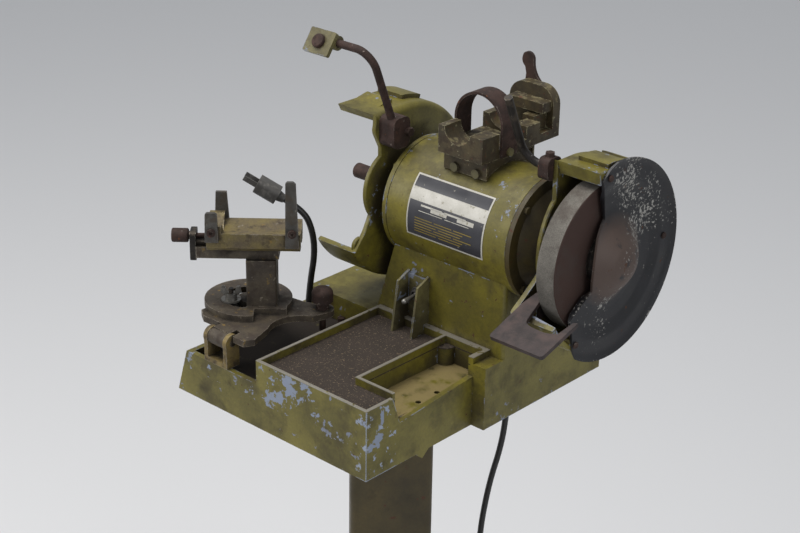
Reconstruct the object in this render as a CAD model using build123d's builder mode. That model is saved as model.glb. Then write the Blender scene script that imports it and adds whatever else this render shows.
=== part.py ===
"""Pedestal drill-sharpening grinder: motor, one wheel, drill-holder fixture, on a square column.

Origin at the centre of the floor face under the column. X runs along the motor axis towards the wheel,
Y to the back, Z up. Sizes in millimetres.
"""
from build123d import *
from math import cos, sin, tan, radians, pi
import os

os.makedirs("parts", exist_ok=True)

# ---------------------------------------------------------------- pedestal
column_side = 101.6          # square tube, turned 45 degrees to the base
column_wall = 4.8
column_turn = 45
floor_plate_side = 400
floor_plate_thick = 10
floor_hole_pitch = 340
floor_hole_r = 7
base_z = 762                 # height of the base casting's lower edge
top_plate_rise = 28          # underside of the top plate above base_z
top_plate_side = 150
top_plate_thick = 8
top_bolt_reach = 86          # bolts lie on the base's axes, this far from the column's centre
base_bolt_r = 5

# ---------------------------------------------------------------- base casting
base_left = -168             # at the lower edge, the left wall leans inwards going up
base_lean = 20               # how far it leans over lean_height
lean_height = 65
base_front = -198
base_right = 146
rear_right = 165             # the rear part is wider on the right
rear_start = -20
base_rear = 204
wall = 7
tray_left = -29
tray_rise = 88               # rim of the chip tray above base_z
tray_rim = 4
tray_depth = 10
tray_floor = 6
shelf_left = 85
shelf_front = -144
shelf_rise = 55
bay_wall_rise = 57
bay_floor_rise = 46
bay_floor_thick = 6
deck_rise = 80               # rear deck under the riser
deck_thick = 6
shelf_hole_r = 3.5
shelf_hole_x = 131
shelf_hole_y = (-97, -65)
cord_hole_x = -126           # the cord drops through the bay's floor here
cord_hole_y = -20
cord_hole_r = 11
gland_x = 62                 # the cord leaves the rear deck's underside here
gland_y = 152
gland_r = 8
cord_r = 4

# ---------------------------------------------------------------- motor
axis_y = 70
axis_rise = 221              # motor axis above base_z
axis_z = base_z + axis_rise
barrel_r = 75
barrel_wall = 5
barrel_left = -8
barrel_right = 174
bell_depth = 27              # from the barrel's end to the guard's wall
bell_flange = 6
bell_boss_r = 45
spigot = 10
bearing_r = 26
bearing_width = 15
shaft_r = 12.5               # in the bearings and the rotor
stub_r = 9.525               # at the wheel seats
fit = 0.02                   # radial running clearance of the shaft in its bearings
slip = 0.3                   # clearance between pieces that pass each other
stub_left = -127
stub_right = 276
shoulder_out = 48            # from the barrel's end to the wheel-seat shoulder
rotor_r = 44.5
stator_r = 45.1
core_left = 43
core_right = 123
winding_long = 16

# ---------------------------------------------------------------- wheel
wheel_r = 88.9
wheel_width = 25.4
flange_r = 32
flange_thick = 7
nut_af_r = 14.5
nut_thick = 10

# ---------------------------------------------------------------- guards
guard_r = 125
guard_wall = 6
guard_depth = 63             # from the inner wall's motor side to the outer edge
cover_r = 127
cover_thick = 3
dome_r = 42
dome_high = 24
lip_angle = 118              # upper lip, from the back, over the top
jaw_angle = 219              # lower lip, measured the same way
guard_bolt_circle = 36
guard_bolt_r = 3

# ---------------------------------------------------------------- riser
riser_front = 10
riser_top_left = -3
riser_foot_left = -35
riser_top_rear = 130
riser_top_rise = 186
riser_cavity_rise = 136
riser_bolt_places = ((0, 40), (140, 40), (0, 108), (140, 108))
tab_y = -105                 # small tab under the right wall
tab_half = 12
tab_drop = 9
switch_x = 33
switch_rise = 123
bushing_r = 6
capacitor_x = 105
capacitor_y = 70
capacitor_r = 19
capacitor_high = 42

# ---------------------------------------------------------------- guard details
cover_screw_angles = (96, 0, 236)
cover_screw_ring = 112
pad_wide = 36
pad_high = 12
pads = ((90, 54), (64, 24))    # angle about the motor axis and length along the rim
lug_r = 9
dome_shift = 4
rest_block_y = 0
rest_block_rise = 157
rest_block_wide = 10
rest_bolt_r = 4

# ---------------------------------------------------------------- drill holder
holder_x = -129              # vertical swivel axis
holder_y = -116
holder_turn = 42             # how far the fixture is swivelled in the photograph
hinge_y = -188
hinge_rise = 88
hinge_pin_r = 4
hinge_barrel_r = 10
rocker_rise = 91
rocker_thick = 8
sector_r = 53
sector_thick = 8
slot_mid_r = 22
slot_half = 8
slot_from = 105
slot_to = 255
post_height = 59
bar_thick = 14
bar_left = -59
bar_right = 39
bar_half = 12
tail_top = 9                 # half width of the dovetail at its top
tail_foot = 6
tail_high = 6
trough_left = -45
trough_head = -27
trough_right = 65
trough_half = 25
holder_mid = -8              # the post and the bar lie this far in front of the swivel axis
trough_high = 22.7
head_high = 32
vee_depth = 6
feed_rise = 190.5
feed_r = 3
feed_knob_r = 8.5
wing_angle = 205

# ---------------------------------------------------------------- top fixture
cradle_left = 52
cradle_right = 118
cradle_front = 17
cradle_back = 157
cradle_rise = 307
slab_thick = 11
sheet = 2.5
strap_thick = 3
strap_width = 27
strap_front = 48
strap_top_rise = 378
upright_thick = 13
lever_thick = 4
upright_top_rise = 367
strap_screw_rise = 312.5
bracket_bolt_x = 87
bracket_bolt_gap = 32
bracket_bolt_rise = 291
index_x = 84
index_rise = 342
index_r = 24
index_pin_r = 5

# ---------------------------------------------------------------- eye-shield rods
rod_r = 4.75
bore_slip = 0.05             # radial clearance of pins and rods that turn
clamp_thick = 24
right_clamp_thick = 14
clamp_bolt_shift = 9.6
clamp_bolt_r = 3
rod_lean_angle = 22
rod_top_rise = 415
left_arm_long = 72
plate_wide = 40
plate_tall = 30
plate_thick = 5
plate_lean_angle = 35

# ---------------------------------------------------------------- tool rest
rest_front = -74
rest_front_rise = 155
rest_left = 212
rest_wide = 74
rest_long = 66
rest_thick = 5
rest_tilt = 19.2
rest_travel = 15
leg_thick = 5

# ---------------------------------------------------------------- holder details
lever_droop = 6
ear_left = -118
ear_right = -79
ear_thick = 6
tilt_x = -55
tilt_y = -64
tilt_screw_r = 4
knob_stem_r = 8
knob_stem_high = 10
knob_r = 13
knob_high = 17
swivel_pin_r = 5
stud_r = 3
post_side = 36
end_plate_thick = 7
finger_thick = 5

z0 = base_z


def up(rise):
    """Height above the floor of a level given above the base's lower edge."""
    return base_z + rise


# ================================================================ pedestal
with BuildPart() as floor_plate:
    with BuildSketch():
        RectangleRounded(floor_plate_side, floor_plate_side, 20)
        with GridLocations(floor_hole_pitch, floor_hole_pitch, 2, 2):
            Circle(floor_hole_r, mode=Mode.SUBTRACT)
    extrude(amount=floor_plate_thick)
    chamfer(floor_plate.faces().sort_by(Axis.Z)[-1].outer_wire().edges(), 1.5)

column_top = up(top_plate_rise)
with BuildPart() as column:
    with BuildSketch(Plane.XY.offset(floor_plate_thick)):
        with Locations(Location((0, 0, 0), (0, 0, column_turn))):
            RectangleRounded(column_side, column_side, 8)
            RectangleRounded(column_side - 2 * column_wall, column_side - 2 * column_wall,
                             8 - column_wall, mode=Mode.SUBTRACT)
    extrude(amount=column_top - floor_plate_thick)

with BuildPart() as top_plate:
    with BuildSketch(Plane.XY.offset(column_top)):
        with Locations(Location((0, 0, 0), (0, 0, column_turn))):
            RectangleRounded(top_plate_side, top_plate_side, 8)
        with PolarLocations(top_bolt_reach, 4):
            Circle(base_bolt_r + 0.5, mode=Mode.SUBTRACT)
    extrude(amount=top_plate_thick)

boss_z = column_top + top_plate_thick

# ================================================================ base casting
lean_at_wall = base_lean * bay_wall_rise / lean_height
lean_at_deck = base_lean * deck_rise / lean_height
with BuildPart() as base_casting:
    # front half: the left wall leans, the bay's walls are low, the tray stands higher
    with BuildSketch(Plane.XZ.offset(-base_front)):
        with Locations((0, z0)):
            Polygon((base_left, 0), (base_right, 0), (base_right, tray_rise), (tray_left, tray_rise),
                    (tray_left, bay_wall_rise), (base_left + lean_at_wall, bay_wall_rise), align=None)
    extrude(amount=base_front - riser_front)
    # rear half, wider on the right, with the bank behind the bay
    with BuildSketch(Plane.XZ.offset(-rear_start)):
        with Locations((0, z0)):
            Polygon((base_right - 30, 0), (rear_right, 0), (rear_right, deck_rise), (base_right - 30, deck_rise),
                    align=None)
    extrude(amount=rear_start - riser_front)
    with BuildSketch(Plane.XZ.offset(-riser_front + 8)):
        with Locations((0, z0)):
            Polygon((base_left, 0), (rear_right, 0), (rear_right, deck_rise),
                    (base_left + lean_at_deck, deck_rise), align=None)
    extrude(amount=riser_front - 8 - base_rear)
    # chip tray, L-shaped, with a thin rim
    with BuildSketch(Plane.XY.offset(up(tray_rise - tray_depth))):
        with BuildLine():
            Polyline((tray_left + tray_rim, base_front + tray_rim), (base_right - tray_rim, base_front + tray_rim),
                     (base_right - tray_rim, shelf_front - tray_rim), (shelf_left - tray_rim, shelf_front - tray_rim),
                     (shelf_left - tray_rim, riser_front - 8), (tray_left + tray_rim, riser_front - 8), close=True)
        make_face()
    extrude(amount=tray_depth + 1, mode=Mode.SUBTRACT)
    # low shelf at the right, its outer wall falls with it
    with BuildSketch(Plane.XY.offset(up(shelf_rise))):
        with Locations(((shelf_left + base_right - wall) / 2, (shelf_front + riser_front - 8) / 2)):
            Rectangle(base_right - wall - shelf_left, riser_front - 8 - shelf_front)
    extrude(amount=tray_rise, mode=Mode.SUBTRACT)
    with BuildSketch(Plane.YZ.offset(base_right - wall - 1)):
        with Locations((0, z0)):
            Polygon((shelf_front, shelf_rise - 2), (rear_start, shelf_rise + 9), (rear_start, tray_rise + 20),
                    (shelf_front - 12, tray_rise + 20), (shelf_front - 12, tray_rise), align=None)
    extrude(amount=wall + 2, mode=Mode.SUBTRACT)
    # left bay
    with BuildSketch(Plane.XY.offset(up(bay_floor_rise))):
        with BuildLine():
            Polyline((base_left + lean_at_wall + wall, base_front + wall), (tray_left - wall, base_front + wall),
                     (tray_left - wall, riser_front - 8), (base_left + lean_at_wall + wall, riser_front - 8), close=True)
        make_face()
    extrude(amount=tray_rise, mode=Mode.SUBTRACT)
    # hollow underside, in steps that follow the floors above
    with BuildSketch(Plane.XY.offset(z0 - 1)):
        with BuildLine():
            Polyline((base_left + wall + base_lean, base_front + wall), (base_right - wall, base_front + wall),
                     (base_right - wall, rear_start + wall), (rear_right - wall, rear_start + wall),
                     (rear_right - wall, base_rear - wall), (base_left + wall + base_lean, base_rear - wall), close=True)
        make_face()
    extrude(amount=bay_floor_rise - bay_floor_thick + 1, mode=Mode.SUBTRACT)
    with BuildSketch(Plane.XY.offset(z0 + 10)):
        with BuildLine():
            Polyline((tray_left + wall, base_front + wall), (base_right - wall, base_front + wall),
                     (base_right - wall, shelf_front - wall), (shelf_left - wall, shelf_front - wall),
                     (shelf_left - wall, riser_front), (tray_left + wall, riser_front), close=True)
        make_face()
    extrude(amount=tray_rise - tray_depth - tray_floor - 10, mode=Mode.SUBTRACT)
    with BuildSketch(Plane.XY.offset(z0 + 10)):
        with Locations(((rear_right - wall + base_left + wall + base_lean) / 2,
                        (riser_front + 4 + base_rear - wall) / 2)):
            Rectangle(rear_right - base_left - base_lean - 2 * wall, base_rear - wall - riser_front - 4)
    extrude(amount=deck_rise - deck_thick - 10, mode=Mode.SUBTRACT)
    # four bosses that stand on the column's top plate
    with BuildSketch(Plane.XY.offset(boss_z)):
        with PolarLocations(top_bolt_reach, 4):
            Circle(13)
    extrude(amount=bay_floor_rise - bay_floor_thick - (boss_z - z0) + 3)
    with BuildSketch(Plane.XY.offset(boss_z)):
        with Locations((0, top_bolt_reach), (top_bolt_reach, 0)):
            Circle(13)
    extrude(amount=deck_rise - 2 - (boss_z - z0))
    with BuildSketch(Plane.XY.offset(boss_z)):
        with Locations((0, -top_bolt_reach)):
            Circle(13)
    extrude(amount=tray_rise - tray_depth - 2 - (boss_z - z0))
    with BuildSketch(Plane.XY.offset(boss_z - 1)):
        with PolarLocations(top_bolt_reach, 4):
            Circle(base_bolt_r)
    extrude(amount=20, mode=Mode.SUBTRACT)
    # two holes in the shelf, the hole in the bay's floor for the cord and one in the deck for the gland
    with BuildSketch(Plane.XY.offset(up(shelf_rise - 20))):
        with Locations((shelf_hole_x, shelf_hole_y[0]), (shelf_hole_x, shelf_hole_y[1])):
            Circle(shelf_hole_r)
    extrude(amount=25, mode=Mode.SUBTRACT)
    with BuildSketch(Plane.XY.offset(z0)):
        with Locations((cord_hole_x, cord_hole_y)):
            Circle(cord_hole_r)
    extrude(amount=tray_rise, mode=Mode.SUBTRACT)
    with BuildSketch(Plane.XY.offset(up(deck_rise - 20))):
        with Locations((gland_x, gland_y)):
            Circle(gland_r)
        with Locations(*riser_bolt_places):
            Circle(base_bolt_r)
    extrude(amount=25, mode=Mode.SUBTRACT)
    # the small tab under the right wall
    with BuildSketch(Plane.YZ.offset(base_right - wall)):
        with Locations((0, z0)):
            Polygon((tab_y - tab_half, 1), (tab_y + tab_half, 1), (tab_y, -tab_drop), align=None)
    extrude(amount=wall)

# ================================================================ riser
with BuildPart() as motor_riser:
    with BuildSketch(Plane.XZ.offset(-riser_front)):
        with Locations((0, z0)):
            Polygon((riser_foot_left, deck_rise), (rear_right, deck_rise), (rear_right, riser_top_rise),
                    (riser_top_left, riser_top_rise), align=None)
    extrude(amount=riser_front - base_rear)
    with BuildSketch(Plane.YZ.offset(riser_foot_left - 1)):
        with Locations((0, z0)):
            Polygon((riser_top_rear, riser_top_rise + 1), (base_rear + 1, riser_top_rise + 1),
                    (base_rear + 1, deck_rise + 12), (base_rear, deck_rise + 12), (riser_top_rear, riser_top_rise),
                    align=None)
    extrude(amount=rear_right - riser_foot_left + 2, mode=Mode.SUBTRACT)
    fillet(motor_riser.edges().filter_by(Axis.Z), 5)
    # the cavity follows the walls
    with BuildSketch(Plane.XZ.offset(-riser_front - wall)):
        with Locations((0, z0)):
            Polygon((riser_foot_left + wall, deck_rise), (rear_right - wall, deck_rise),
                    (rear_right - wall, riser_cavity_rise), (riser_top_left, riser_cavity_rise), align=None)
    extrude(amount=riser_front + 2 * wall - riser_top_rear, mode=Mode.SUBTRACT)
    # bosses for the bolts from below
    with BuildSketch(Plane.XY.offset(up(deck_rise))):
        with Locations(*riser_bolt_places):
            Circle(12)
    extrude(amount=riser_cavity_rise - deck_rise)
    with BuildSketch(Plane.XY.offset(up(deck_rise) - 1)):
        with Locations(*riser_bolt_places):
            Circle(base_bolt_r)
    extrude(amount=21, mode=Mode.SUBTRACT)
    # saddle for the barrel
    with BuildSketch(Plane.YZ.offset(riser_foot_left)):
        with Locations((axis_y, axis_z)):
            Circle(barrel_r)
    extrude(amount=rear_right - riser_foot_left + 1, mode=Mode.SUBTRACT)
    # way for the cord's wires from the gland into the cavity
    with BuildSketch(Plane.XY.offset(up(deck_rise))):
        with Locations((gland_x, gland_y - 12)):
            Rectangle(2 * gland_r + 10, 56)
    extrude(amount=18, mode=Mode.SUBTRACT)
    # hole for the switch's bushing
    with BuildSketch(Plane.XZ.offset(-riser_front + 1)):
        with Locations((switch_x, up(switch_rise))):
            Circle(bushing_r)
    extrude(amount=-wall - 2, mode=Mode.SUBTRACT)

with BuildPart() as base_bolts:
    with BuildSketch(Plane.XY.offset(column_top)):
        with PolarLocations(top_bolt_reach, 4):
            RegularPolygon(8.5, 6)
    extrude(amount=-6.4)
    with BuildSketch(Plane.XY.offset(column_top)):
        with PolarLocations(top_bolt_reach, 4):
            Circle(base_bolt_r)
    extrude(amount=top_plate_thick + 18)
    with BuildSketch(Plane.XY.offset(up(deck_rise - deck_thick))):
        with Locations(*riser_bolt_places):
            RegularPolygon(8.5, 6)
    extrude(amount=-6.4)
    with BuildSketch(Plane.XY.offset(up(deck_rise - deck_thick))):
        with Locations(*riser_bolt_places):
            Circle(base_bolt_r)
    extrude(amount=deck_thick + 19)

# ================================================================ motor
shaft_line = Axis((0, axis_y, axis_z), (1, 0, 0))
motor_mid = (barrel_left + barrel_right) / 2
shoulder_left = barrel_left - shoulder_out
shoulder_right = barrel_right + shoulder_out


def disc_x(x_from, x_to, r_out, r_in=0.0, mode=Mode.ADD):
    """Round body about the motor axis, between two X values."""
    with BuildSketch(Plane.YZ.offset(x_from)) as disc:
        with Locations((axis_y, axis_z)):
            Circle(r_out)
            if r_in > 0:
                Circle(r_in, mode=Mode.SUBTRACT)
    extrude(disc.sketch, amount=x_to - x_from, mode=mode)


with BuildPart() as motor_barrel:
    disc_x(barrel_left, barrel_right, barrel_r, barrel_r - barrel_wall)
    chamfer(motor_barrel.faces().sort_by(Axis.X)[0].outer_wire().edges(), 1)
    chamfer(motor_barrel.faces().sort_by(Axis.X)[-1].outer_wire().edges(), 1)


def end_bell(x_end, way):
    """End bell that closes the barrel at x_end and points outwards along way (-1 or 1)."""
    outer = x_end + way * bell_depth
    with BuildPart() as bell:
        disc_x(x_end, x_end + way * bell_flange, barrel_r)
        disc_x(x_end, x_end - way * spigot, barrel_r - barrel_wall - fit, barrel_r - barrel_wall - 8)
        with BuildSketch(Plane.YZ.offset(x_end + way * bell_flange)):
            with Locations((axis_y, axis_z)):
                Circle(barrel_r - 14)
        with BuildSketch(Plane.YZ.offset(outer - way * 6)):
            with Locations((axis_y, axis_z)):
                Circle(bell_boss_r)
        loft()
        disc_x(outer - way * 6, outer, bell_boss_r)
        # the bearing's seat and the way through for the shaft
        disc_x(x_end - way * 0.1, outer - way * 5, bearing_r, mode=Mode.SUBTRACT)
        disc_x(outer - way * 6, outer + way, shaft_r + 1, mode=Mode.SUBTRACT)
        with BuildSketch(Plane.YZ.offset(outer - way * 12)):
            with Locations((axis_y, axis_z)):
                with PolarLocations(guard_bolt_circle, 3, start_angle=90):
                    Circle(guard_bolt_r)
        extrude(amount=way * 14, mode=Mode.SUBTRACT)
        with BuildSketch(Plane.YZ.offset(x_end + way * bell_flange)):
            with Locations((axis_y, axis_z)):
                with PolarLocations(barrel_r - 7, 4, start_angle=45):
                    RegularPolygon(4.5, 6)
        extrude(amount=way * 4)
    return bell


left_end_bell = end_bell(barrel_left, -1)
right_end_bell = end_bell(barrel_right, 1)
left_bell_out = barrel_left - bell_depth
right_bell_out = barrel_right + bell_depth

with BuildPart() as left_bearing:
    disc_x(left_bell_out + 5, left_bell_out + 5 + bearing_width, bearing_r, shaft_r + fit)
with BuildPart() as right_bearing:
    disc_x(right_bell_out - 5, right_bell_out - 5 - bearing_width, bearing_r, shaft_r + fit)

with BuildPart() as stator_core:
    disc_x(core_left, core_right, barrel_r - barrel_wall, stator_r)
    with BuildSketch(Plane.YZ.offset(core_left)):
        with Locations((axis_y, axis_z)):
            with PolarLocations(stator_r, 24):
                Rectangle(16, 4)
    extrude(amount=core_right - core_left, mode=Mode.SUBTRACT)

with BuildPart() as stator_windings:
    disc_x(core_left - winding_long, core_left, stator_r + 19, stator_r + 3)
    disc_x(core_right, core_right + winding_long, stator_r + 19, stator_r + 3)
    chamfer(stator_windings.edges().filter_by(GeomType.CIRCLE), 3)

with BuildPart() as rotor:
    disc_x(core_left, core_right, rotor_r, shaft_r)
    disc_x(core_left - 6, core_left, rotor_r - 4, shaft_r + 8)
    disc_x(core_right, core_right + 6, rotor_r - 4, shaft_r + 8)

with BuildPart() as arbor_shaft:
    disc_x(shoulder_left, shoulder_right, shaft_r)
    disc_x(stub_left, shoulder_left, stub_r)
    disc_x(shoulder_right, stub_right, stub_r)
    chamfer(arbor_shaft.faces().sort_by(Axis.X)[0].edges(), 1.5)
    chamfer(arbor_shaft.faces().sort_by(Axis.X)[-1].edges(), 1.5)

wheel_left = shoulder_right + flange_thick
wheel_right = wheel_left + wheel_width
with BuildPart() as grinding_wheel:
    disc_x(wheel_left, wheel_right, wheel_r, stub_r)
    chamfer(grinding_wheel.edges().filter_by(GeomType.CIRCLE).sort_by(SortBy.RADIUS)[-2:], 1)

with BuildPart() as wheel_flanges:
    disc_x(shoulder_right, wheel_left, flange_r, stub_r)
    disc_x(wheel_right, wheel_right + flange_thick, flange_r, stub_r)
    chamfer(wheel_flanges.faces().sort_by(Axis.X)[0].outer_wire().edges(), 3)
    chamfer(wheel_flanges.faces().sort_by(Axis.X)[-1].outer_wire().edges(), 3)

with BuildPart() as wheel_nut:
    with BuildSketch(Plane.YZ.offset(wheel_right + flange_thick)):
        with Locations((axis_y, axis_z)):
            RegularPolygon(nut_af_r, 6, major_radius=False)
            Circle(stub_r, mode=Mode.SUBTRACT)
    extrude(amount=nut_thick)

with BuildPart() as start_capacitor:
    with BuildSketch(Plane.XY.offset(up(deck_rise))):
        with Locations((capacitor_x, capacitor_y)):
            Circle(capacitor_r)
    extrude(amount=capacitor_high)
    with BuildSketch(Plane.XY.offset(up(deck_rise) + capacitor_high)):
        with Locations((capacitor_x - 7, capacitor_y), (capacitor_x + 7, capacitor_y)):
            Rectangle(1, 6)
    extrude(amount=6)


# ================================================================ guards
def on_ring(angle, r):
    """Point on a circle about the motor axis in the YZ plane, measured from the back over the top."""
    return (axis_y + r * cos(radians(angle)), axis_z + r * sin(radians(angle)))


def about_axis(dy, dz):
    return (axis_y + dy, axis_z + dz)


def guard(inner_x, way):
    """C-shaped wheel guard: inner wall on the end bell and a rim that runs outwards along way."""
    outer_x = inner_x + way * guard_depth
    lip = on_ring(lip_angle, guard_r)
    jaw = on_ring(jaw_angle, guard_r)
    with BuildPart() as shell:
        with BuildSketch(Plane.YZ.offset(inner_x)):
            with BuildLine():
                ThreePointArc(jaw, on_ring((lip_angle + jaw_angle - 360) / 2, guard_r), lip)
                Polyline(lip, on_ring(lip_angle + 7, guard_r - 24), about_axis(-60, 66))
                ThreePointArc(about_axis(-60, 66), about_axis(-82, 24), about_axis(-72, -14))
                Polyline(about_axis(-72, -14), on_ring(jaw_angle - 7, guard_r - 24), jaw)
            make_face()
        extrude(amount=way * guard_wall)
        with BuildSketch(Plane.YZ.offset(inner_x)):
            with BuildLine():
                ThreePointArc(jaw, on_ring((lip_angle + jaw_angle - 360) / 2, guard_r), lip)
                Line(lip, on_ring(lip_angle, guard_r - guard_wall))
                ThreePointArc(on_ring(lip_angle, guard_r - guard_wall),
                              on_ring((lip_angle + jaw_angle - 360) / 2, guard_r - guard_wall),
                              on_ring(jaw_angle, guard_r - guard_wall))
                Line(on_ring(jaw_angle, guard_r - guard_wall), jaw)
            make_face()
        extrude(amount=way * guard_depth)
        fillet(shell.faces().sort_by(Axis.X)[0 if way > 0 else -1].outer_wire().edges(), 3)
        # lugs along the rim that take the cover's screws
        with BuildSketch(Plane.YZ.offset(inner_x + way * guard_wall)):
            for angle in cover_screw_angles:
                with Locations(on_ring(angle, cover_screw_ring)):
                    Circle(lug_r)
        extrude(amount=way * (guard_depth - guard_wall))
        with BuildSketch(Plane.YZ.offset(outer_x)):
            for angle in cover_screw_angles:
                with Locations(on_ring(angle, cover_screw_ring)):
                    Circle(2)
        extrude(amount=-way * 14, mode=Mode.SUBTRACT)
        # two raised pads on top of the rim
        for pad_angle, pad_long in pads:
            with BuildSketch(Plane.YZ.offset(outer_x - way * (pad_wide + 3))):
                with Locations(Location((*on_ring(pad_angle, guard_r + 0.5), 0), (0, 0, pad_angle - 90))):
                    Rectangle(pad_long, pad_high)
            extrude(amount=way * pad_wide)
        # the way through for the arbor and the bolts
        with BuildSketch(Plane.YZ.offset(inner_x - way)):
            with Locations((axis_y, axis_z)):
                Circle(shaft_r + 6)
                with PolarLocations(guard_bolt_circle, 3, start_angle=90):
                    Circle(guard_bolt_r + 0.4)
        extrude(amount=way * (guard_wall + 2), mode=Mode.SUBTRACT)
    return shell


left_guard_base = guard(left_bell_out, -1)
right_guard_base = guard(right_bell_out, 1)
right_rim_out = right_bell_out + guard_depth
left_rim_out = left_bell_out - guard_depth

with BuildPart() as left_guard:
    add(left_guard_base.part)
    # round pad on the lower jaw
    with BuildSketch(Plane.YZ.offset(left_bell_out)):
        with Locations(about_axis(-86, -52)):
            Circle(10.5)
    extrude(amount=4)
    # the spark tongue on the jaw's edge
    with BuildSketch(Plane.YZ.offset(left_rim_out + 2)):
        with BuildLine():
            Polyline(on_ring(jaw_angle, guard_r - 1), on_ring(jaw_angle - 1, guard_r + 3),
                     on_ring(jaw_angle - 9, guard_r + 1), on_ring(jaw_angle - 9, guard_r - 5),
                     on_ring(jaw_angle, guard_r - guard_wall), close=True)
        make_face()
    extrude(amount=guard_depth - 8)

with BuildPart() as right_guard:
    add(right_guard_base.part)
    # block that carries the tool rest
    with BuildSketch(Plane.YZ.offset(right_bell_out + guard_wall)):
        with Locations((rest_block_y, up(rest_block_rise))):
            Rectangle(24, 22)
    extrude(amount=rest_block_wide)
    with BuildSketch(Plane.YZ.offset(right_bell_out + guard_wall + 2)):
        with Locations((0, up(rest_block_rise))):
            Circle(rest_bolt_r)
    extrude(amount=rest_block_wide, mode=Mode.SUBTRACT)

with BuildPart() as guard_cover:
    with BuildSketch(Plane.YZ.offset(right_rim_out)):
        with BuildLine():
            ThreePointArc(about_axis(-62, -110.8), on_ring(0, cover_r), about_axis(-36, 121.8))
            Polyline(about_axis(-36, 121.8), about_axis(-34, 97), about_axis(-14, 52))
            ThreePointArc(about_axis(-14, 52), about_axis(-38, 16), about_axis(-36, -27))
            Polyline(about_axis(-36, -27), about_axis(-71, -51), about_axis(-62, -110.8))
        make_face()
        with Locations((axis_y + dome_shift, axis_z)):
            Circle(dome_r - 4, mode=Mode.SUBTRACT)
        for angle in cover_screw_angles:
            with Locations(on_ring(angle, cover_screw_ring)):
                Circle(2.5, mode=Mode.SUBTRACT)
    extrude(amount=cover_thick)
    # pressed dome over the arbor's end
    with BuildSketch(Plane.XY.offset(axis_z)):
        with BuildLine():
            dome_in = right_rim_out
            Line((dome_in, axis_y + dome_shift + dome_r - 4), (dome_in, axis_y + dome_shift + dome_r))
            Line((dome_in, axis_y + dome_shift + dome_r), (dome_in + 3, axis_y + dome_shift + dome_r))
            Spline((dome_in + 3, axis_y + dome_shift + dome_r), (dome_in + dome_high * 0.72, axis_y + dome_shift + dome_r * 0.62),
                   (dome_in + dome_high + 3, axis_y + dome_shift))
            Line((dome_in + dome_high + 3, axis_y + dome_shift), (dome_in + dome_high, axis_y + dome_shift))
            Spline((dome_in + dome_high, axis_y + dome_shift), (dome_in + dome_high * 0.62, axis_y + dome_shift + dome_r * 0.58),
                   (dome_in, axis_y + dome_shift + dome_r - 4))
        make_face()
    revolve(axis=Axis((0, axis_y + dome_shift, axis_z), (1, 0, 0)))

with BuildPart() as cover_screws:
    with BuildSketch(Plane.YZ.offset(right_rim_out + cover_thick)):
        for angle in cover_screw_angles:
            with Locations(on_ring(angle, cover_screw_ring)):
                Circle(4)
    extrude(amount=2.5)
    with BuildSketch(Plane.YZ.offset(right_rim_out + cover_thick)):
        for angle in cover_screw_angles:
            with Locations(on_ring(angle, cover_screw_ring)):
                Circle(2)
    extrude(amount=-cover_thick - 10)

with BuildPart() as guard_bolts:
    for bell_out, way in ((left_bell_out, -1), (right_bell_out, 1)):
        with BuildSketch(Plane.YZ.offset(bell_out + way * guard_wall)):
            with Locations((axis_y, axis_z)):
                with PolarLocations(guard_bolt_circle, 3, start_angle=90):
                    RegularPolygon(5, 6, major_radius=False)
        extrude(amount=way * 4)
        with BuildSketch(Plane.YZ.offset(bell_out + way * guard_wall)):
            with Locations((axis_y, axis_z)):
                with PolarLocations(guard_bolt_circle, 3, start_angle=90):
                    Circle(guard_bolt_r)
        extrude(amount=-way * (guard_wall + 9))

# ================================================================ eye-shield rods
left_clamp_at = (left_bell_out + 13, axis_y - 45, axis_z + 90)
rod_lean = radians(rod_lean_angle)
rod_way = Vector(0, -sin(rod_lean), cos(rod_lean))
right_clamp_at = (right_bell_out - right_clamp_thick / 2, axis_y - 28, axis_z + 98)

with BuildPart() as left_rod_clamp:
    with BuildSketch(Plane.YZ.offset(left_bell_out)):
        with Locations(left_clamp_at[1:]):
            RectangleRounded(28, 38, 9)
    extrude(amount=clamp_thick)
    with BuildSketch(Plane(origin=left_clamp_at, x_dir=(1, 0, 0), z_dir=rod_way)):
        Circle(rod_r + bore_slip)
    extrude(amount=60, both=True, mode=Mode.SUBTRACT)
    with BuildSketch(Plane.YZ.offset(left_bell_out + 4)):
        with Locations((left_clamp_at[1] + clamp_bolt_shift, left_clamp_at[2])):
            Circle(clamp_bolt_r)
    extrude(amount=clamp_thick, mode=Mode.SUBTRACT)

with BuildPart() as right_rod_clamp:
    with BuildSketch(Plane.YZ.offset(right_bell_out)):
        with Locations(right_clamp_at[1:]):
            RectangleRounded(24, 26, 7)
    extrude(amount=-right_clamp_thick)
    with BuildSketch(Plane.YZ.offset(right_bell_out - 25)):
        with Locations(right_clamp_at[1:]):
            Circle(rod_r + bore_slip)
    extrude(amount=22, mode=Mode.SUBTRACT)
    with BuildSketch(Plane.XY.offset(right_clamp_at[2])):
        with Locations(right_clamp_at[:2]):
            Circle(clamp_bolt_r)
    extrude(amount=20, mode=Mode.SUBTRACT)

with BuildPart() as clamp_bolts:
    with BuildSketch(Plane.YZ.offset(left_bell_out + clamp_thick)):
        with Locations((left_clamp_at[1] + clamp_bolt_shift, left_clamp_at[2])):
            RegularPolygon(5.5, 6)
    extrude(amount=6)
    with BuildSketch(Plane.YZ.offset(left_bell_out + 4)):
        with Locations((left_clamp_at[1] + clamp_bolt_shift, left_clamp_at[2])):
            Circle(clamp_bolt_r)
    extrude(amount=clamp_thick - 4)
    with BuildSketch(Plane.XY.offset(right_clamp_at[2] + 13)):
        with Locations(right_clamp_at[:2]):
            RegularPolygon(5.5, 6)
    extrude(amount=5)
    with BuildSketch(Plane.XY.offset(right_clamp_at[2] + rod_r + slip)):
        with Locations(right_clamp_at[:2]):
            Circle(clamp_bolt_r)
    extrude(amount=13 - rod_r - slip)

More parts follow.
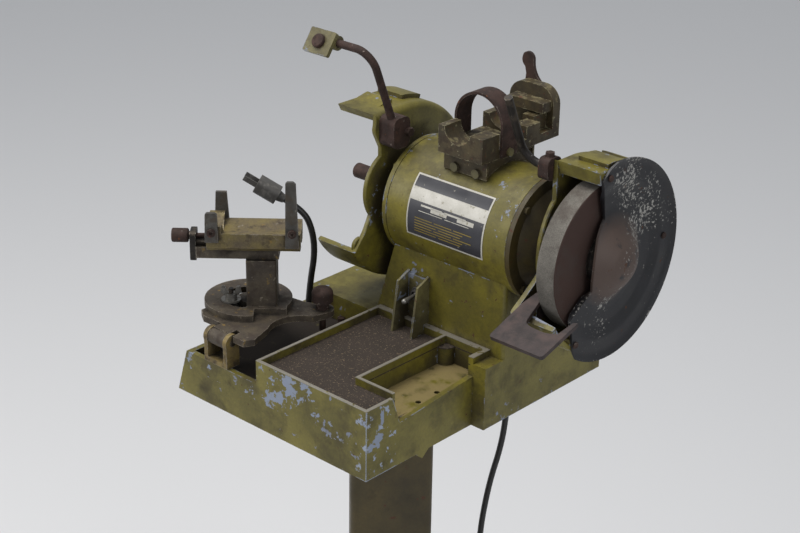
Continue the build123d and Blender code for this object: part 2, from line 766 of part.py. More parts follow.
rod_run = (up(rod_top_rise) - left_clamp_at[2]) / rod_way.Z
left_knee = Vector(*left_clamp_at) + rod_way * rod_run
left_foot = Vector(*left_clamp_at) - rod_way * 23
left_tip = left_knee - Vector(left_arm_long, 0, 0)
with BuildPart() as left_shield_rod:
    with BuildLine() as left_path:
        FilletPolyline(left_foot, left_knee, left_tip, radius=24)
    with BuildSketch(Plane(origin=left_foot, z_dir=rod_way)):
        Circle(rod_r)
    sweep(path=left_path.wire())

right_foot = Vector(right_bell_out - 4, right_clamp_at[1], right_clamp_at[2])
right_knee = Vector(right_bell_out - 27, right_clamp_at[1], right_clamp_at[2])
right_tip = Vector(right_bell_out - 28, -2, up(404))
with BuildPart() as right_shield_rod:
    with BuildLine() as right_path:
        FilletPolyline(right_foot, right_knee, right_tip, radius=12)
    with BuildSketch(Plane(origin=right_foot, z_dir=(-1, 0, 0))):
        Circle(rod_r)
    sweep(path=right_path.wire())

plate_lean = radians(plate_lean_angle)
plate_face = Plane(origin=left_tip, x_dir=(1, 0, 0),
                   z_dir=(0, -cos(plate_lean), sin(plate_lean)))
with BuildPart() as shield_plate:
    with BuildSketch(plate_face.offset(rod_r + slip)):
        with Locations((0, -plate_tall / 5)):
            RectangleRounded(plate_wide, plate_tall, 2)
    extrude(amount=plate_thick)
    with BuildSketch(Plane.YZ.offset(left_tip.X - 2)):
        with Locations((left_tip.Y, left_tip.Z)):
            Circle(rod_r + 4)
    extrude(amount=22)
    with BuildSketch(Plane.YZ.offset(left_tip.X - 1)):
        with Locations((left_tip.Y, left_tip.Z)):
            Circle(rod_r + bore_slip)
    extrude(amount=plate_wide + 10, mode=Mode.SUBTRACT)

with BuildPart() as shield_plate_bolt:
    with BuildSketch(plate_face.offset(rod_r + slip + plate_thick)):
        with Locations((0, -plate_tall / 5)):
            Circle(8.5)
    extrude(amount=4.5)
    fillet(shield_plate_bolt.faces().sort_by(Axis.Z)[-1].edges(), 2)

# ================================================================ tool rest
rest_plane = Plane(origin=(0, rest_front, up(rest_front_rise)), x_dir=(1, 0, 0),
                   z_dir=(0, -sin(radians(rest_tilt)), cos(radians(rest_tilt))))
rest_x = right_bell_out + guard_wall + rest_block_wide + slip
notch_left = wheel_left - 3.5
notch_right = wheel_right + 3.6
rest_back = rest_long + 17
with BuildPart() as tool_rest:
    with BuildSketch(rest_plane) as rest_outline:
        with BuildLine():
            Polyline((rest_left, 0), (rest_left + rest_wide, 0), (rest_left + rest_wide, rest_long - 14),
                     (notch_right + 13, rest_back - 4), (notch_right, rest_back), (notch_right, rest_long),
                     (notch_left, rest_long), (notch_left, rest_back), (rest_left + 4, rest_back), (rest_left, rest_long - 6),
                     close=True)
        make_face()
        fillet(rest_outline.vertices().group_by(Axis.Y)[0], 4)
    extrude(amount=rest_thick)
    # leg with the slot that slides on the guard's block
    with BuildSketch(Plane.YZ.offset(rest_x)):
        with Locations((0, z0)):
            Polygon((-18, 149), (27, 149), (27, 166), (4, 184), (-18, 176), align=None)
        with Locations((rest_travel / 2, up(rest_block_rise))):
            SlotCenterToCenter(rest_travel + 1, 2 * rest_bolt_r + 0.6, mode=Mode.SUBTRACT)
    extrude(amount=leg_thick)

with BuildPart() as rest_bolt:
    with BuildSketch(Plane.YZ.offset(rest_x + leg_thick + slip)):
        with Locations((0, up(rest_block_rise))):
            RegularPolygon(6.5, 6, major_radius=False)
    extrude(amount=3.5)
    with BuildSketch(Plane.YZ.offset(rest_x + leg_thick + slip)):
        with Locations((0, up(rest_block_rise))):
            Circle(rest_bolt_r)
    extrude(amount=-leg_thick - 2 * slip - rest_block_wide + 2)

# ================================================================ switch
with BuildPart() as switch_guard:
    for left in (switch_x - 17, switch_x + 14):
        with BuildSketch(Plane.YZ.offset(left)):
            with Locations((0, z0)):
                Polygon((riser_front, 90), (1.5, 90), (1.5, tray_rise - tray_depth), (-20, tray_rise - tray_depth),
                        (-10, 141), (riser_front, 150), align=None)
        extrude(amount=3)
    with BuildSketch(Plane.XZ.offset(-riser_front)):
        with Locations((switch_x, up(118))):
            Rectangle(34, 56)
        with Locations((switch_x, up(switch_rise))):
            Circle(bushing_r, mode=Mode.SUBTRACT)
    extrude(amount=2)

with BuildPart() as switch_body:
    with BuildSketch(Plane.XZ.offset(-riser_front - wall)):
        with Locations((switch_x, up(switch_rise))):
            RectangleRounded(28, 24, 2)
    extrude(amount=-28)
    with BuildSketch(Plane.XZ.offset(-riser_front - wall)):
        with Locations((switch_x, up(switch_rise))):
            Circle(bushing_r)
            Circle(bushing_r - 1.5, mode=Mode.SUBTRACT)
    extrude(amount=wall + 8)
    with BuildSketch(Plane.XZ.offset(-riser_front + 2)):
        with Locations((switch_x, up(switch_rise))):
            RegularPolygon(8, 6, major_radius=False)
            Circle(bushing_r, mode=Mode.SUBTRACT)
    extrude(amount=2.5)

lever_line = Plane(origin=(switch_x, riser_front - 3, up(switch_rise)), x_dir=(1, 0, 0),
                   z_dir=(0, -cos(radians(lever_droop)), -sin(radians(lever_droop))))
with BuildPart() as switch_lever:
    with Locations(lever_line):
        Sphere(bushing_r - 1.5 - bore_slip)
    with BuildSketch(lever_line):
        Circle(1.8)
    with BuildSketch(lever_line.offset(22)):
        Circle(3.4)
    loft()
    with Locations(lever_line.offset(22)):
        Sphere(3.4)

# ================================================================ drill holder
holder = Plane(origin=(holder_x, holder_y, 0), x_dir=(cos(radians(holder_turn)), sin(radians(holder_turn)), 0),
               z_dir=(0, 0, 1))
along = holder.x_dir
across = holder.y_dir
hinge_line = (hinge_y, up(hinge_rise))


def facing(v, away):
    """Upright plane along the fixture at distance v across it; away is 1 to face back and -1 to face front."""
    return Plane(origin=holder.origin + across * v, x_dir=along * -away, z_dir=across * away)


def ahead(u):
    """Upright plane square to the fixture's length at distance u along it."""
    return Plane(origin=holder.origin + along * u, x_dir=across, z_dir=along)


with BuildPart() as hinge_bracket:
    with BuildSketch(Plane.XY.offset(up(bay_wall_rise))):
        with Locations(((ear_left + ear_right) / 2, hinge_y)):
            Rectangle(ear_right - ear_left, 20)
    extrude(amount=6)
    for ear in (ear_left, ear_right - ear_thick):
        with BuildSketch(Plane.YZ.offset(ear)):
            with Locations(hinge_line):
                Circle(hinge_barrel_r + 1)
            with Locations((hinge_y, up((bay_wall_rise + hinge_rise) / 2))):
                Rectangle(2 * hinge_barrel_r, hinge_rise - bay_wall_rise)
            with Locations(hinge_line):
                Circle(hinge_pin_r, mode=Mode.SUBTRACT)
        extrude(amount=ear_thick)

with BuildPart() as hinge_pin:
    with BuildSketch(Plane.YZ.offset(ear_left - 2)):
        with Locations(hinge_line):
            Circle(hinge_pin_r)
    extrude(amount=ear_right - ear_left + 3)

with BuildPart() as rocker_plate:
    with BuildSketch(Plane.XY.offset(up(rocker_rise))):
        with BuildLine():
            Polyline((-156, -168), (-142, -177), (ear_left - 3, -176), (ear_left + ear_thick + slip, -176),
                     (ear_left + ear_thick + slip, hinge_y), (ear_right - ear_thick - slip, hinge_y),
                     (ear_right - ear_thick - slip, -176), (ear_right + 1, -176), (ear_right + 3, -190), (-58, -190),
                     (-52, -178), (-63, -146))
            ThreePointArc((-63, -146), (-70, -116), (tilt_x + 8, tilt_y - 24))
            Line((tilt_x + 8, tilt_y - 24), (tilt_x + 14, tilt_y))
            ThreePointArc((tilt_x + 14, tilt_y), (tilt_x, tilt_y + 14), (tilt_x - 14, tilt_y + 4))
            Polyline((tilt_x - 14, tilt_y + 4), (-84, -66), (-128, -72), (-156, -100), (-156, -168))
        make_face()
    extrude(amount=rocker_thick)
    with BuildSketch(Plane.YZ.offset(ear_left + ear_thick + slip)):
        with Locations(hinge_line):
            Circle(hinge_barrel_r)
    extrude(amount=ear_right - ear_left - 2 * ear_thick - 2 * slip)
    with BuildSketch(Plane.YZ.offset(ear_left)):
        with Locations(hinge_line):
            Circle(hinge_pin_r + bore_slip)
    extrude(amount=ear_right - ear_left, mode=Mode.SUBTRACT)
    with BuildSketch(Plane.XY.offset(up(rocker_rise - 1))):
        with Locations((tilt_x, tilt_y)):
            Circle(tilt_screw_r + bore_slip)
        with Locations((holder_x, holder_y)):
            Circle(swivel_pin_r)
    extrude(amount=rocker_thick + 2, mode=Mode.SUBTRACT)
    with BuildSketch(holder.offset(up(rocker_rise - 1))):
        with Locations((slot_mid_r * cos(radians(wing_angle)), slot_mid_r * sin(radians(wing_angle)))):
            Circle(stud_r)
    extrude(amount=rocker_thick + 2, mode=Mode.SUBTRACT)

sector_z = up(rocker_rise + rocker_thick) + slip
post_z = sector_z + sector_thick
bar_z = post_z + post_height
rail_z = bar_z + bar_thick
with BuildPart() as swivel_pin:
    with BuildSketch(holder.offset(up(rocker_rise - 7))):
        Circle(swivel_pin_r + 4)
        with Locations((slot_mid_r * cos(radians(wing_angle)), slot_mid_r * sin(radians(wing_angle)))):
            Circle(stud_r + 3)
    extrude(amount=7)
    with BuildSketch(holder.offset(up(rocker_rise))):
        Circle(swivel_pin_r)
    extrude(amount=rocker_thick + sector_thick - 2)
    with BuildSketch(holder.offset(up(rocker_rise))):
        with Locations((slot_mid_r * cos(radians(wing_angle)), slot_mid_r * sin(radians(wing_angle)))):
            Circle(stud_r)
    extrude(amount=rocker_thick + sector_thick + 16)

with BuildPart() as swivel_post:
    with BuildSketch(holder.offset(sector_z)):
        Circle(sector_r)
        with Locations((40, -45)):
            Rectangle(60, 40, mode=Mode.SUBTRACT)
        with Locations((21, holder_mid)):
            Rectangle(54, 48)
        with BuildLine():
            for r in (slot_mid_r - slot_half, slot_mid_r + slot_half):
                CenterArc((0, 0), r, slot_from, slot_to - slot_from)
            for angle, way in ((radians(slot_from), 1), (radians(slot_to), -1)):
                out = Vector(cos(angle), sin(angle))
                side = Vector(sin(angle), -cos(angle)) * way
                ThreePointArc(out * (slot_mid_r - slot_half), out * slot_mid_r + side * slot_half,
                              out * (slot_mid_r + slot_half))
        make_face(mode=Mode.SUBTRACT)
    extrude(amount=sector_thick)
    with BuildSketch(holder.offset(post_z)):
        with Locations((18, holder_mid)):
            RectangleRounded(post_side, post_side, 3)
    extrude(amount=post_height)
    with BuildSketch(holder.offset(bar_z)):
        with Locations(((bar_left + bar_right) / 2, holder_mid)):
            Rectangle(bar_right - bar_left, 2 * bar_half)
    extrude(amount=bar_thick)
    # dovetail rail on the bar
    with BuildSketch(ahead(bar_left)):
        with Locations((holder_mid, rail_z)):
            Polygon((-tail_foot, 0), (tail_foot, 0), (tail_top, tail_high), (-tail_top, tail_high), align=None)
    extrude(amount=bar_right - bar_left)
    with BuildSketch(holder.offset(sector_z - 1)):
        Circle(swivel_pin_r + bore_slip)
    extrude(amount=sector_thick, mode=Mode.SUBTRACT)

wing_x = slot_mid_r * cos(radians(wing_angle))
wing_y = slot_mid_r * sin(radians(wing_angle))
with BuildPart() as wing_nut:
    with BuildSketch(holder.offset(post_z + slip)):
        with Locations((wing_x, wing_y)):
            Circle(12)
    extrude(amount=2)
    with BuildSketch(holder.offset(post_z + slip + 2)):
        with Locations((wing_x, wing_y)):
            Circle(7)
    extrude(amount=7)
    with BuildSketch(Plane(origin=holder.from_local_coords((wing_x, wing_y, 0)), x_dir=along, z_dir=across * -1)
                     .offset(-1.5)):
        with Locations((0, post_z + 5)):
            Polygon((-5, 0), (5, 0), (13, 6), (11, 14), (7, 13), (4, 5), (-4, 5), (-7, 13), (-11, 14), (-13, 6),
                    align=None)
    extrude(amount=3)
    with BuildSketch(holder.offset(post_z)):
        with Locations((wing_x, wing_y)):
            Circle(stud_r + bore_slip)
    extrude(amount=24, mode=Mode.SUBTRACT)

carriage_z = rail_z + slip
trough_top = carriage_z + trough_high
feed_z = up(feed_rise)
with BuildPart() as carriage:
    with BuildSketch(holder.offset(carriage_z)):
        with Locations(((trough_left + trough_right) / 2, holder_mid)):
            Rectangle(trough_right - trough_left, 2 * trough_half)
    extrude(amount=trough_high)
    with BuildSketch(holder.offset(carriage_z)):
        with Locations(((trough_left + trough_head) / 2, holder_mid)):
            Rectangle(trough_head - trough_left, 2 * trough_half)
    extrude(amount=head_high)
    chamfer(carriage.faces().sort_by(Axis.Z)[0].edges().filter_by(lambda e: e.length > 100), 5)
    # V groove, steep through the head and shallow along the trough
    with BuildSketch(ahead(trough_left - 1)):
        with Locations((holder_mid, trough_top - vee_depth)):
            Polygon((0, 0), (19, head_high - trough_high + vee_depth + 1),
                    (-19, head_high - trough_high + vee_depth + 1), align=None)
    extrude(amount=trough_right - trough_left + 2, mode=Mode.SUBTRACT)
    with BuildSketch(ahead(trough_head)):
        with Locations((holder_mid, trough_top - vee_depth)):
            Polygon((0, 0), (trough_half - 3, vee_depth), (trough_half - 3, head_high), (3 - trough_half, head_high),
                    (3 - trough_half, vee_depth), align=None)
    extrude(amount=trough_right - trough_head + 1, mode=Mode.SUBTRACT)
    with BuildSketch(ahead(trough_left - 1)):
        with Locations((holder_mid, rail_z)):
            Polygon((-tail_foot - slip, 0), (tail_foot + slip, 0), (tail_top + slip + 0.1, tail_high + slip),
                    (-tail_top - slip - 0.1, tail_high + slip), align=None)
    extrude(amount=trough_right - trough_left + 2, mode=Mode.SUBTRACT)
    with BuildSketch(ahead(trough_left - 1)):
        with Locations((holder_mid, feed_z)):
            Circle(feed_r + bore_slip)
    extrude(amount=66, mode=Mode.SUBTRACT)

with BuildPart() as end_plate:
    with BuildSketch(ahead(bar_left - end_plate_thick)):
        with Locations((holder_mid, (up(162) + up(198)) / 2)):
            RectangleRounded(2 * bar_half, 36, 4)
        with Locations((holder_mid, feed_z)):
            Circle(feed_r + bore_slip, mode=Mode.SUBTRACT)
    extrude(amount=end_plate_thick)

knob_from = bar_left - end_plate_thick - slip
with BuildPart() as feed_screw:
    with BuildSketch(ahead(knob_from)):
        with Locations((holder_mid, feed_z)):
            Circle(5)
    extrude(amount=-2)
    with BuildSketch(ahead(knob_from - 2)):
        with Locations((holder_mid, feed_z)):
            Circle(feed_knob_r)
    extrude(amount=-20)
    fillet(feed_screw.edges().filter_by(GeomType.CIRCLE).filter_by(lambda e: e.radius > 8), 2)
    with BuildSketch(ahead(knob_from)):
        with Locations((holder_mid, feed_z)):
            Circle(feed_r)
    extrude(amount=-knob_from - 10)

front_v = holder_mid - trough_half
back_v = holder_mid + trough_half
with BuildPart() as left_front_finger:
    with BuildSketch(facing(front_v, -1)):
        with BuildLine():
            Polyline((-46, up(194)), (-30, up(194)), (-31, up(229)), (-34, up(231)), (-43, up(231)), (-45, up(229)),
                     close=True)
        make_face()
        with Locations((-38, up(207))):
            Circle(2.5, mode=Mode.SUBTRACT)
    extrude(amount=finger_thick)

with BuildPart() as right_finger:
    with BuildSketch(facing(front_v, -1)):
        with BuildLine():
            Polyline((48, up(188)), (64, up(188)), (61, up(268)), (58, up(271)), (51, up(271)), (49, up(269)), close=True)
        make_face()
        with Locations((56, up(207))):
            Circle(2.5, mode=Mode.SUBTRACT)
    extrude(amount=finger_thick)

with BuildPart() as left_rear_finger:
    with BuildSketch(facing(back_v, 1)):
        with BuildLine():
            Polyline((22, up(190)), (40, up(190)), (38, up(236)), (25, up(236)), close=True)
        make_face()
        with Locations((31, up(204))):
            Circle(2.5, mode=Mode.SUBTRACT)
    extrude(amount=finger_thick)

with BuildPart() as finger_screws:
    for spot in (-38, 56):
        with BuildSketch(facing(front_v, -1).offset(finger_thick)):
            with Locations((spot, up(207))):
                Circle(5)
        extrude(amount=3)
        with BuildSketch(facing(front_v, -1).offset(finger_thick + 3)):
            with Locations((spot, up(207))):
                RegularPolygon(2.4, 6)
        extrude(amount=-2, mode=Mode.SUBTRACT)
        with BuildSketch(facing(front_v, -1).offset(finger_thick)):
            with Locations((spot, up(207))):
                Circle(2.5)
        extrude(amount=-finger_thick)
    with BuildSketch(facing(back_v, 1).offset(finger_thick)):
        with Locations((31, up(204))):
            Circle(5)
    extrude(amount=3)
    with BuildSketch(facing(back_v, 1).offset(finger_thick)):
        with Locations((31, up(204))):
            Circle(2.5)
    extrude(amount=-finger_thick)

rocker_top = up(rocker_rise + rocker_thick)
with BuildPart() as tilt_knob:
    with BuildSketch(Plane.XY.offset(up(bay_floor_rise) + slip)):
        with Locations((tilt_x, tilt_y)):
            Circle(tilt_screw_r)
    extrude(amount=rocker_top - up(bay_floor_rise) + 2)
    with BuildSketch(Plane.XY.offset(rocker_top + slip)):
        with Locations((tilt_x, tilt_y)):
            Circle(knob_stem_r)
    extrude(amount=knob_stem_high)
    with BuildSketch(Plane.XY.offset(rocker_top + slip + knob_stem_high)):
        with Locations((tilt_x, tilt_y)):
            Circle(knob_r)
    extrude(amount=knob_high)
    fillet(tilt_knob.faces().sort_by(Axis.Z)[-1].edges(), knob_high / 2.4)

# ================================================================ top fixture
cradle_mid = (cradle_left + cradle_right) / 2
cradle_z = up(cradle_rise)
flange_front = axis_y - 43
flange_back = axis_y + 43
with BuildPart() as saddle_block:
    with BuildSketch(Plane.XY.offset(axis_z + 50)):
        with Locations((cradle_mid, axis_y)):
            Rectangle(cradle_right - cradle_left - 8, flange_back - flange_front - 2 * sheet)
    extrude(amount=cradle_z - sheet - axis_z - 50)
    disc_x(cradle_left, cradle_right, barrel_r, mode=Mode.SUBTRACT)
    with BuildSketch(Plane.XZ.offset(-flange_front - sheet)):
        with Locations((bracket_bolt_x - bracket_bolt_gap / 2, up(bracket_bolt_rise)),
                       (bracket_bolt_x + bracket_bolt_gap / 2, up(bracket_bolt_rise))):
            Circle(2.5)
    extrude(amount=-5.5, mode=Mode.SUBTRACT)

with BuildPart() as channel_bracket:
    with BuildSketch(Plane.YZ.offset(cradle_left + 1)):
        with BuildLine():
            Polyline((flange_front, axis_z + 64), (flange_front, cradle_z), (flange_back, cradle_z),
                     (flange_back, axis_z + 64), (flange_back - sheet, axis_z + 64), (flange_back - sheet, cradle_z - sheet),
                     (flange_front + sheet, cradle_z - sheet), (flange_front + sheet, axis_z + 64), close=True)
        make_face()
    extrude(amount=cradle_right - cradle_left - 2)
    with BuildSketch(Plane.XZ.offset(-flange_front - sheet - 1)):
        with Locations((bracket_bolt_x - bracket_bolt_gap / 2, up(bracket_bolt_rise)),
                       (bracket_bolt_x + bracket_bolt_gap / 2, up(bracket_bolt_rise))):
            Circle(2.5)
    extrude(amount=sheet + 2, mode=Mode.SUBTRACT)

with BuildPart() as cradle:
    with BuildSketch(Plane.XY.offset(cradle_z)):
        with Locations((cradle_mid, (cradle_front + cradle_back) / 2)):
            Rectangle(cradle_right - cradle_left, cradle_back - cradle_front)
    extrude(amount=slab_thick)
    # two blocks with a round trough, in front of and behind the strap
    for block_from, block_to, top in ((cradle_front, strap_front - 2, 340), (96, 120, 336)):
        with BuildSketch(Plane.XZ.offset(-block_from)):
            with BuildLine():
                Polyline((cradle_left, cradle_z + slab_thick), (cradle_left, up(top)), (cradle_left + 9, up(top)))
                ThreePointArc((cradle_left + 9, up(top)), (cradle_mid - 5, cradle_z + slab_thick + 3),
                              (cradle_right - 19, up(top - 3)))
                Polyline((cradle_right - 19, up(top - 3)), (cradle_right, up(top - 3)),
                         (cradle_right, cradle_z + slab_thick), (cradle_left, cradle_z + slab_thick))
            make_face()
        extrude(amount=block_from - block_to)
    # upright plate with its rounded top, and the two blocks in front of it
    with BuildSketch(Plane.XZ.offset(-cradle_back)) as upright:
        with Locations((cradle_mid, (cradle_z + up(upright_top_rise)) / 2)):
            Rectangle(cradle_right - cradle_left, up(upright_top_rise) - cradle_z)
        fillet(upright.vertices().group_by(Axis.Y)[-1], 22)
    extrude(amount=upright_thick)
    with BuildSketch(Plane.XZ.offset(-cradle_back + upright_thick)):
        with Locations((cradle_mid + 4, up(346))):
            Rectangle(52, 12)
    extrude(amount=16)
    with BuildSketch(Plane.XY.offset(cradle_z + slab_thick)):
        with Locations((100, 132)):
            Rectangle(16, 24)
    extrude(amount=19)
    # seats of the strap's screws and of the lever's pin
    with BuildSketch(Plane.YZ.offset(cradle_left - 1)):
        with Locations((strap_front + strap_width / 2, up(strap_screw_rise))):
            Circle(2.5)
    extrude(amount=9, mode=Mode.SUBTRACT)
    with BuildSketch(Plane.YZ.offset(cradle_right + 1)):
        with Locations((strap_front + strap_width / 2, up(strap_screw_rise))):
            Circle(2.5)
    extrude(amount=-9, mode=Mode.SUBTRACT)
    with BuildSketch(Plane.XZ.offset(-cradle_back)):
        with Locations((index_x, up(index_rise))):
            Circle(index_pin_r)
    extrude(amount=10, mode=Mode.SUBTRACT)

strap_r = (cradle_right - cradle_left) / 2
strap_centre_z = up(strap_top_rise) - strap_thick - strap_r
with BuildPart() as strap_arch:
    with BuildSketch(Plane.XZ.offset(-strap_front)):
        with BuildLine():
            for r in (strap_r, strap_r + strap_thick):
                ThreePointArc((cradle_mid - r, strap_centre_z), (cradle_mid, strap_centre_z + r),
                              (cradle_mid + r, strap_centre_z))
            for way in (-1, 1):
                Polyline((cradle_mid + way * strap_r, strap_centre_z), (cradle_mid + way * strap_r, cradle_z + 1),
                         (cradle_mid + way * (strap_r + strap_thick), cradle_z + 1),
                         (cradle_mid + way * (strap_r + strap_thick), strap_centre_z))
        make_face()
    extrude(amount=-strap_width)
    with BuildSketch(Plane.YZ.offset(cradle_left - 10)):
        with Locations((strap_front + strap_width / 2, up(strap_screw_rise))):
            Circle(2.5)
    extrude(amount=cradle_right - cradle_left + 20, mode=Mode.SUBTRACT)

with BuildPart() as index_lever:
    with BuildSketch(Plane.XZ.offset(-cradle_back - slip)):
        with Locations((index_x, up(index_rise))):
            Circle(index_r)
        with BuildLine():
            Polyline((index_x - 22, up(index_rise + 4)), (index_x + 12, up(index_rise + 14)),
                     (index_x - 8, up(index_rise + 52)), (index_x - 24, up(index_rise + 52)), close=True)
        make_face()
        with Locations((index_x - 16, up(index_rise + 52))):
            Circle(8)
        with Locations((index_x, up(index_rise))):
            Circle(index_pin_r + bore_slip, mode=Mode.SUBTRACT)
    extrude(amount=-lever_thick)

with BuildPart() as fixture_screws:
    bolt_spots = [(bracket_bolt_x - bracket_bolt_gap / 2, up(bracket_bolt_rise)),
                  (bracket_bolt_x + bracket_bolt_gap / 2, up(bracket_bolt_rise))]
    with BuildSketch(Plane.XZ.offset(-flange_front)):
        with Locations(*bolt_spots):
            Circle(5.5)
    extrude(amount=4)
    with BuildSketch(Plane.XZ.offset(-flange_front)):
        with Locations(*bolt_spots):
            Circle(2.5)
    extrude(amount=-sheet - 5)
    for side_x, way in ((cradle_left - strap_thick, -1), (cradle_right + strap_thick, 1)):
        with BuildSketch(Plane.YZ.offset(side_x)):
            with Locations((strap_front + strap_width / 2, up(strap_screw_rise))):
                Circle(5)
        extrude(amount=way * 3)
        with BuildSketch(Plane.YZ.offset(side_x)):
            with Locations((strap_front + strap_width / 2, up(strap_screw_rise))):
                Circle(2.5)
        extrude(amount=-way * (strap_thick + 7))
    with BuildSketch(Plane.XZ.offset(-cradle_back - lever_thick - 2 * slip)):
        with Locations((index_x, up(index_rise))):
            Circle(9)
    extrude(amount=-4)
    with BuildSketch(Plane.XZ.offset(-cradle_back - lever_thick - 2 * slip)):
        with Locations((index_x, up(index_rise))):
            Circle(index_pin_r)
    extrude(amount=lever_thick + 2 * slip + 9)

# ================================================================ cord
gland_out = up(deck_rise - deck_thick)
with BuildPart() as cord_gland:
    with BuildSketch(Plane.XY.offset(gland_out)):
        with Locations((gland_x, gland_y)):
            Circle(gland_r)
    extrude(amount=deck_thick + 3)
    with BuildSketch(Plane.XY.offset(gland_out)):
        with Locations((gland_x, gland_y)):
            RegularPolygon(12, 6)
    extrude(amount=-6)

# points of the cord's route, each height given above the base's lower edge
cord_points = [Vector(x, y, up(rise)) for x, y, rise in (
    (-146, -38, 207), (-127, -24, 193.5), (-119, -17, 168), (-118, -14, 136), (-124, -17, 95), (-126, -20, 46),
    (-120, -16, 0), (-104, 4, -50), (-84, 34, -100), (-66, 58, -160), (-54, 72, -240), (-48, 78, -340),
    (-47, 81, -455), (-46.5, 83, -574), (-46, 84, -631), (-32, 93.5, -655), (-9, 109, -664), (14, 124.5, -655),
    (28, 134, -631), (28.6, 134.8, -574), (31, 137, -460), (34, 139.5, -360), (35.5, 140, -271), (43, 147, -195),
    (53, 156, -140), (57, 159.5, -90), (61, 156, -30), (gland_x, gland_y, 20), (gland_x, gland_y, 68))]
corner_radii = []
with BuildPart() as cord:
    with BuildLine() as cord_path:
        run_from = cord_points[0]
        for before, corner, after in zip(cord_points, cord_points[1:], cord_points[2:]):
            back = (before - corner).normalized()
            onward = (after - corner).normalized()
            half_turn = radians(180 - back.get_angle(onward)) / 2
            cut = 0.45 * min((before - corner).length, (after - corner).length)
            corner_r = cut / tan(half_turn)
            corner_radii.append(corner_r)
            arc_mid = corner + (back + onward).normalized() * corner_r * (1 / cos(half_turn) - 1)
            Line(run_from, corner + back * cut)
            ThreePointArc(corner + back * cut, arc_mid, corner + onward * cut)
            run_from = corner + onward * cut
        Line(run_from, cord_points[-1])
    with BuildSketch(Plane(origin=cord_points[0], z_dir=cord_points[1] - cord_points[0])):
        Circle(cord_r)
    sweep(path=cord_path.wire())
cord_length = cord_path.wire().length
print(f"cord {cord_length:.0f} mm long, tightest turn {min(corner_radii):.0f} mm,",
      f"volume against length times section {cord.part.volume / (cord_length * pi * cord_r ** 2):.4f}")

plug_way = (cord_points[0] - cord_points[1]).normalized()
plug_plane = Plane(origin=cord_points[0], x_dir=plug_way.cross(Vector(0, 0, 1)), z_dir=plug_way)
relief_long = 9
plug_long = 38
with BuildPart() as plug:
    with BuildSketch(plug_plane):
        Circle(cord_r + 1)
    with BuildSketch(plug_plane.offset(relief_long)):
        Circle(cord_r + 3)
    loft()
    with BuildSketch(plug_plane.offset(relief_long)):
        RectangleRounded(26, 20, 7)
    extrude(amount=plug_long - relief_long)
    with BuildSketch(plug_plane.offset(plug_long)):
        with Locations((-6.35, 0), (6.35, 0)):
            Rectangle(1.6, 6.4)
    extrude(amount=18)

# ================================================================ files
pieces = {
    "floor_plate": floor_plate, "column": column, "top_plate": top_plate, "base_casting": base_casting,
    "motor_riser": motor_riser, "base_bolts": base_bolts, "motor_barrel": motor_barrel,
    "left_end_bell": left_end_bell, "right_end_bell": right_end_bell, "left_bearing": left_bearing,
    "right_bearing": right_bearing, "stator_core": stator_core, "stator_windings": stator_windings, "rotor": rotor,
    "arbor_shaft": arbor_shaft, "grinding_wheel": grinding_wheel, "wheel_flanges": wheel_flanges,
    "wheel_nut": wheel_nut, "start_capacitor": start_capacitor, "left_guard": left_guard,
    "right_guard": right_guard, "guard_cover": guard_cover, "cover_screws": cover_screws,
    "guard_bolts": guard_bolts, "left_rod_clamp": left_rod_clamp, "right_rod_clamp": right_rod_clamp,
    "clamp_bolts": clamp_bolts, "left_shield_rod": left_shield_rod, "right_shield_rod": right_shield_rod,
    "shield_plate": shield_plate, "shield_plate_bolt": shield_plate_bolt, "tool_rest": tool_rest,
    "rest_bolt": rest_bolt, "switch_guard": switch_guard, "switch_body": switch_body, "switch_lever": switch_lever,
    "hinge_bracket": hinge_bracket, "hinge_pin": hinge_pin, "rocker_plate": rocker_plate,
    "swivel_pin": swivel_pin, "swivel_post": swivel_post, "wing_nut": wing_nut, "carriage": carriage,
    "end_plate": end_plate, "feed_screw": feed_screw, "left_front_finger": left_front_finger,
    "right_finger": right_finger, "left_rear_finger": left_rear_finger, "finger_screws": finger_screws,
    "tilt_knob": tilt_knob, "saddle_block": saddle_block, "channel_bracket": channel_bracket, "cradle": cradle,
    "strap_arch": strap_arch, "index_lever": index_lever, "fixture_screws": fixture_screws,
    "cord_gland": cord_gland, "cord": cord, "plug": plug,
}
for name, piece in pieces.items():
    piece.part.label = name
    export_step(piece.part, f"parts/{name}.step")
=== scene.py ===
# Pedestal drill grinder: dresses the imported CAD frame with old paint, rust, grit, a label, a cord and light.
import math

import bmesh
import bpy
import numpy as np
from mathutils import Matrix, Vector


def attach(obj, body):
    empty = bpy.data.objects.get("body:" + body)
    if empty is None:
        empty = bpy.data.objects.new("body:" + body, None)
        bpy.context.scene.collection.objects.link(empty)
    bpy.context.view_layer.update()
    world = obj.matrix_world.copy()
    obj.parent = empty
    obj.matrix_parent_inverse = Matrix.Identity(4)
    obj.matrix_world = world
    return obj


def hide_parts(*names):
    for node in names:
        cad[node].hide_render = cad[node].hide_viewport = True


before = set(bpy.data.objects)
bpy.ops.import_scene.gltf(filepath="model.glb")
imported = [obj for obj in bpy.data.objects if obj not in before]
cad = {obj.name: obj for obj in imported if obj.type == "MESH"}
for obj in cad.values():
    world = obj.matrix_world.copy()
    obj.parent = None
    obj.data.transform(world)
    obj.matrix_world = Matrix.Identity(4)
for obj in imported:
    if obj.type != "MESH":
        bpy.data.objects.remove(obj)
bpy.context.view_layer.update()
print("frame loaded,", len(cad), "nodes")

baseZ = 0.762  # lower edge of the base casting, from the frame's own sizes
axisY, axisZ = 0.070, 0.983  # motor axis
creaseAngle = math.radians(32)  # a sharper edge than this stays crisp
pointR = 1e-7  # radius of a ring that closes a round end


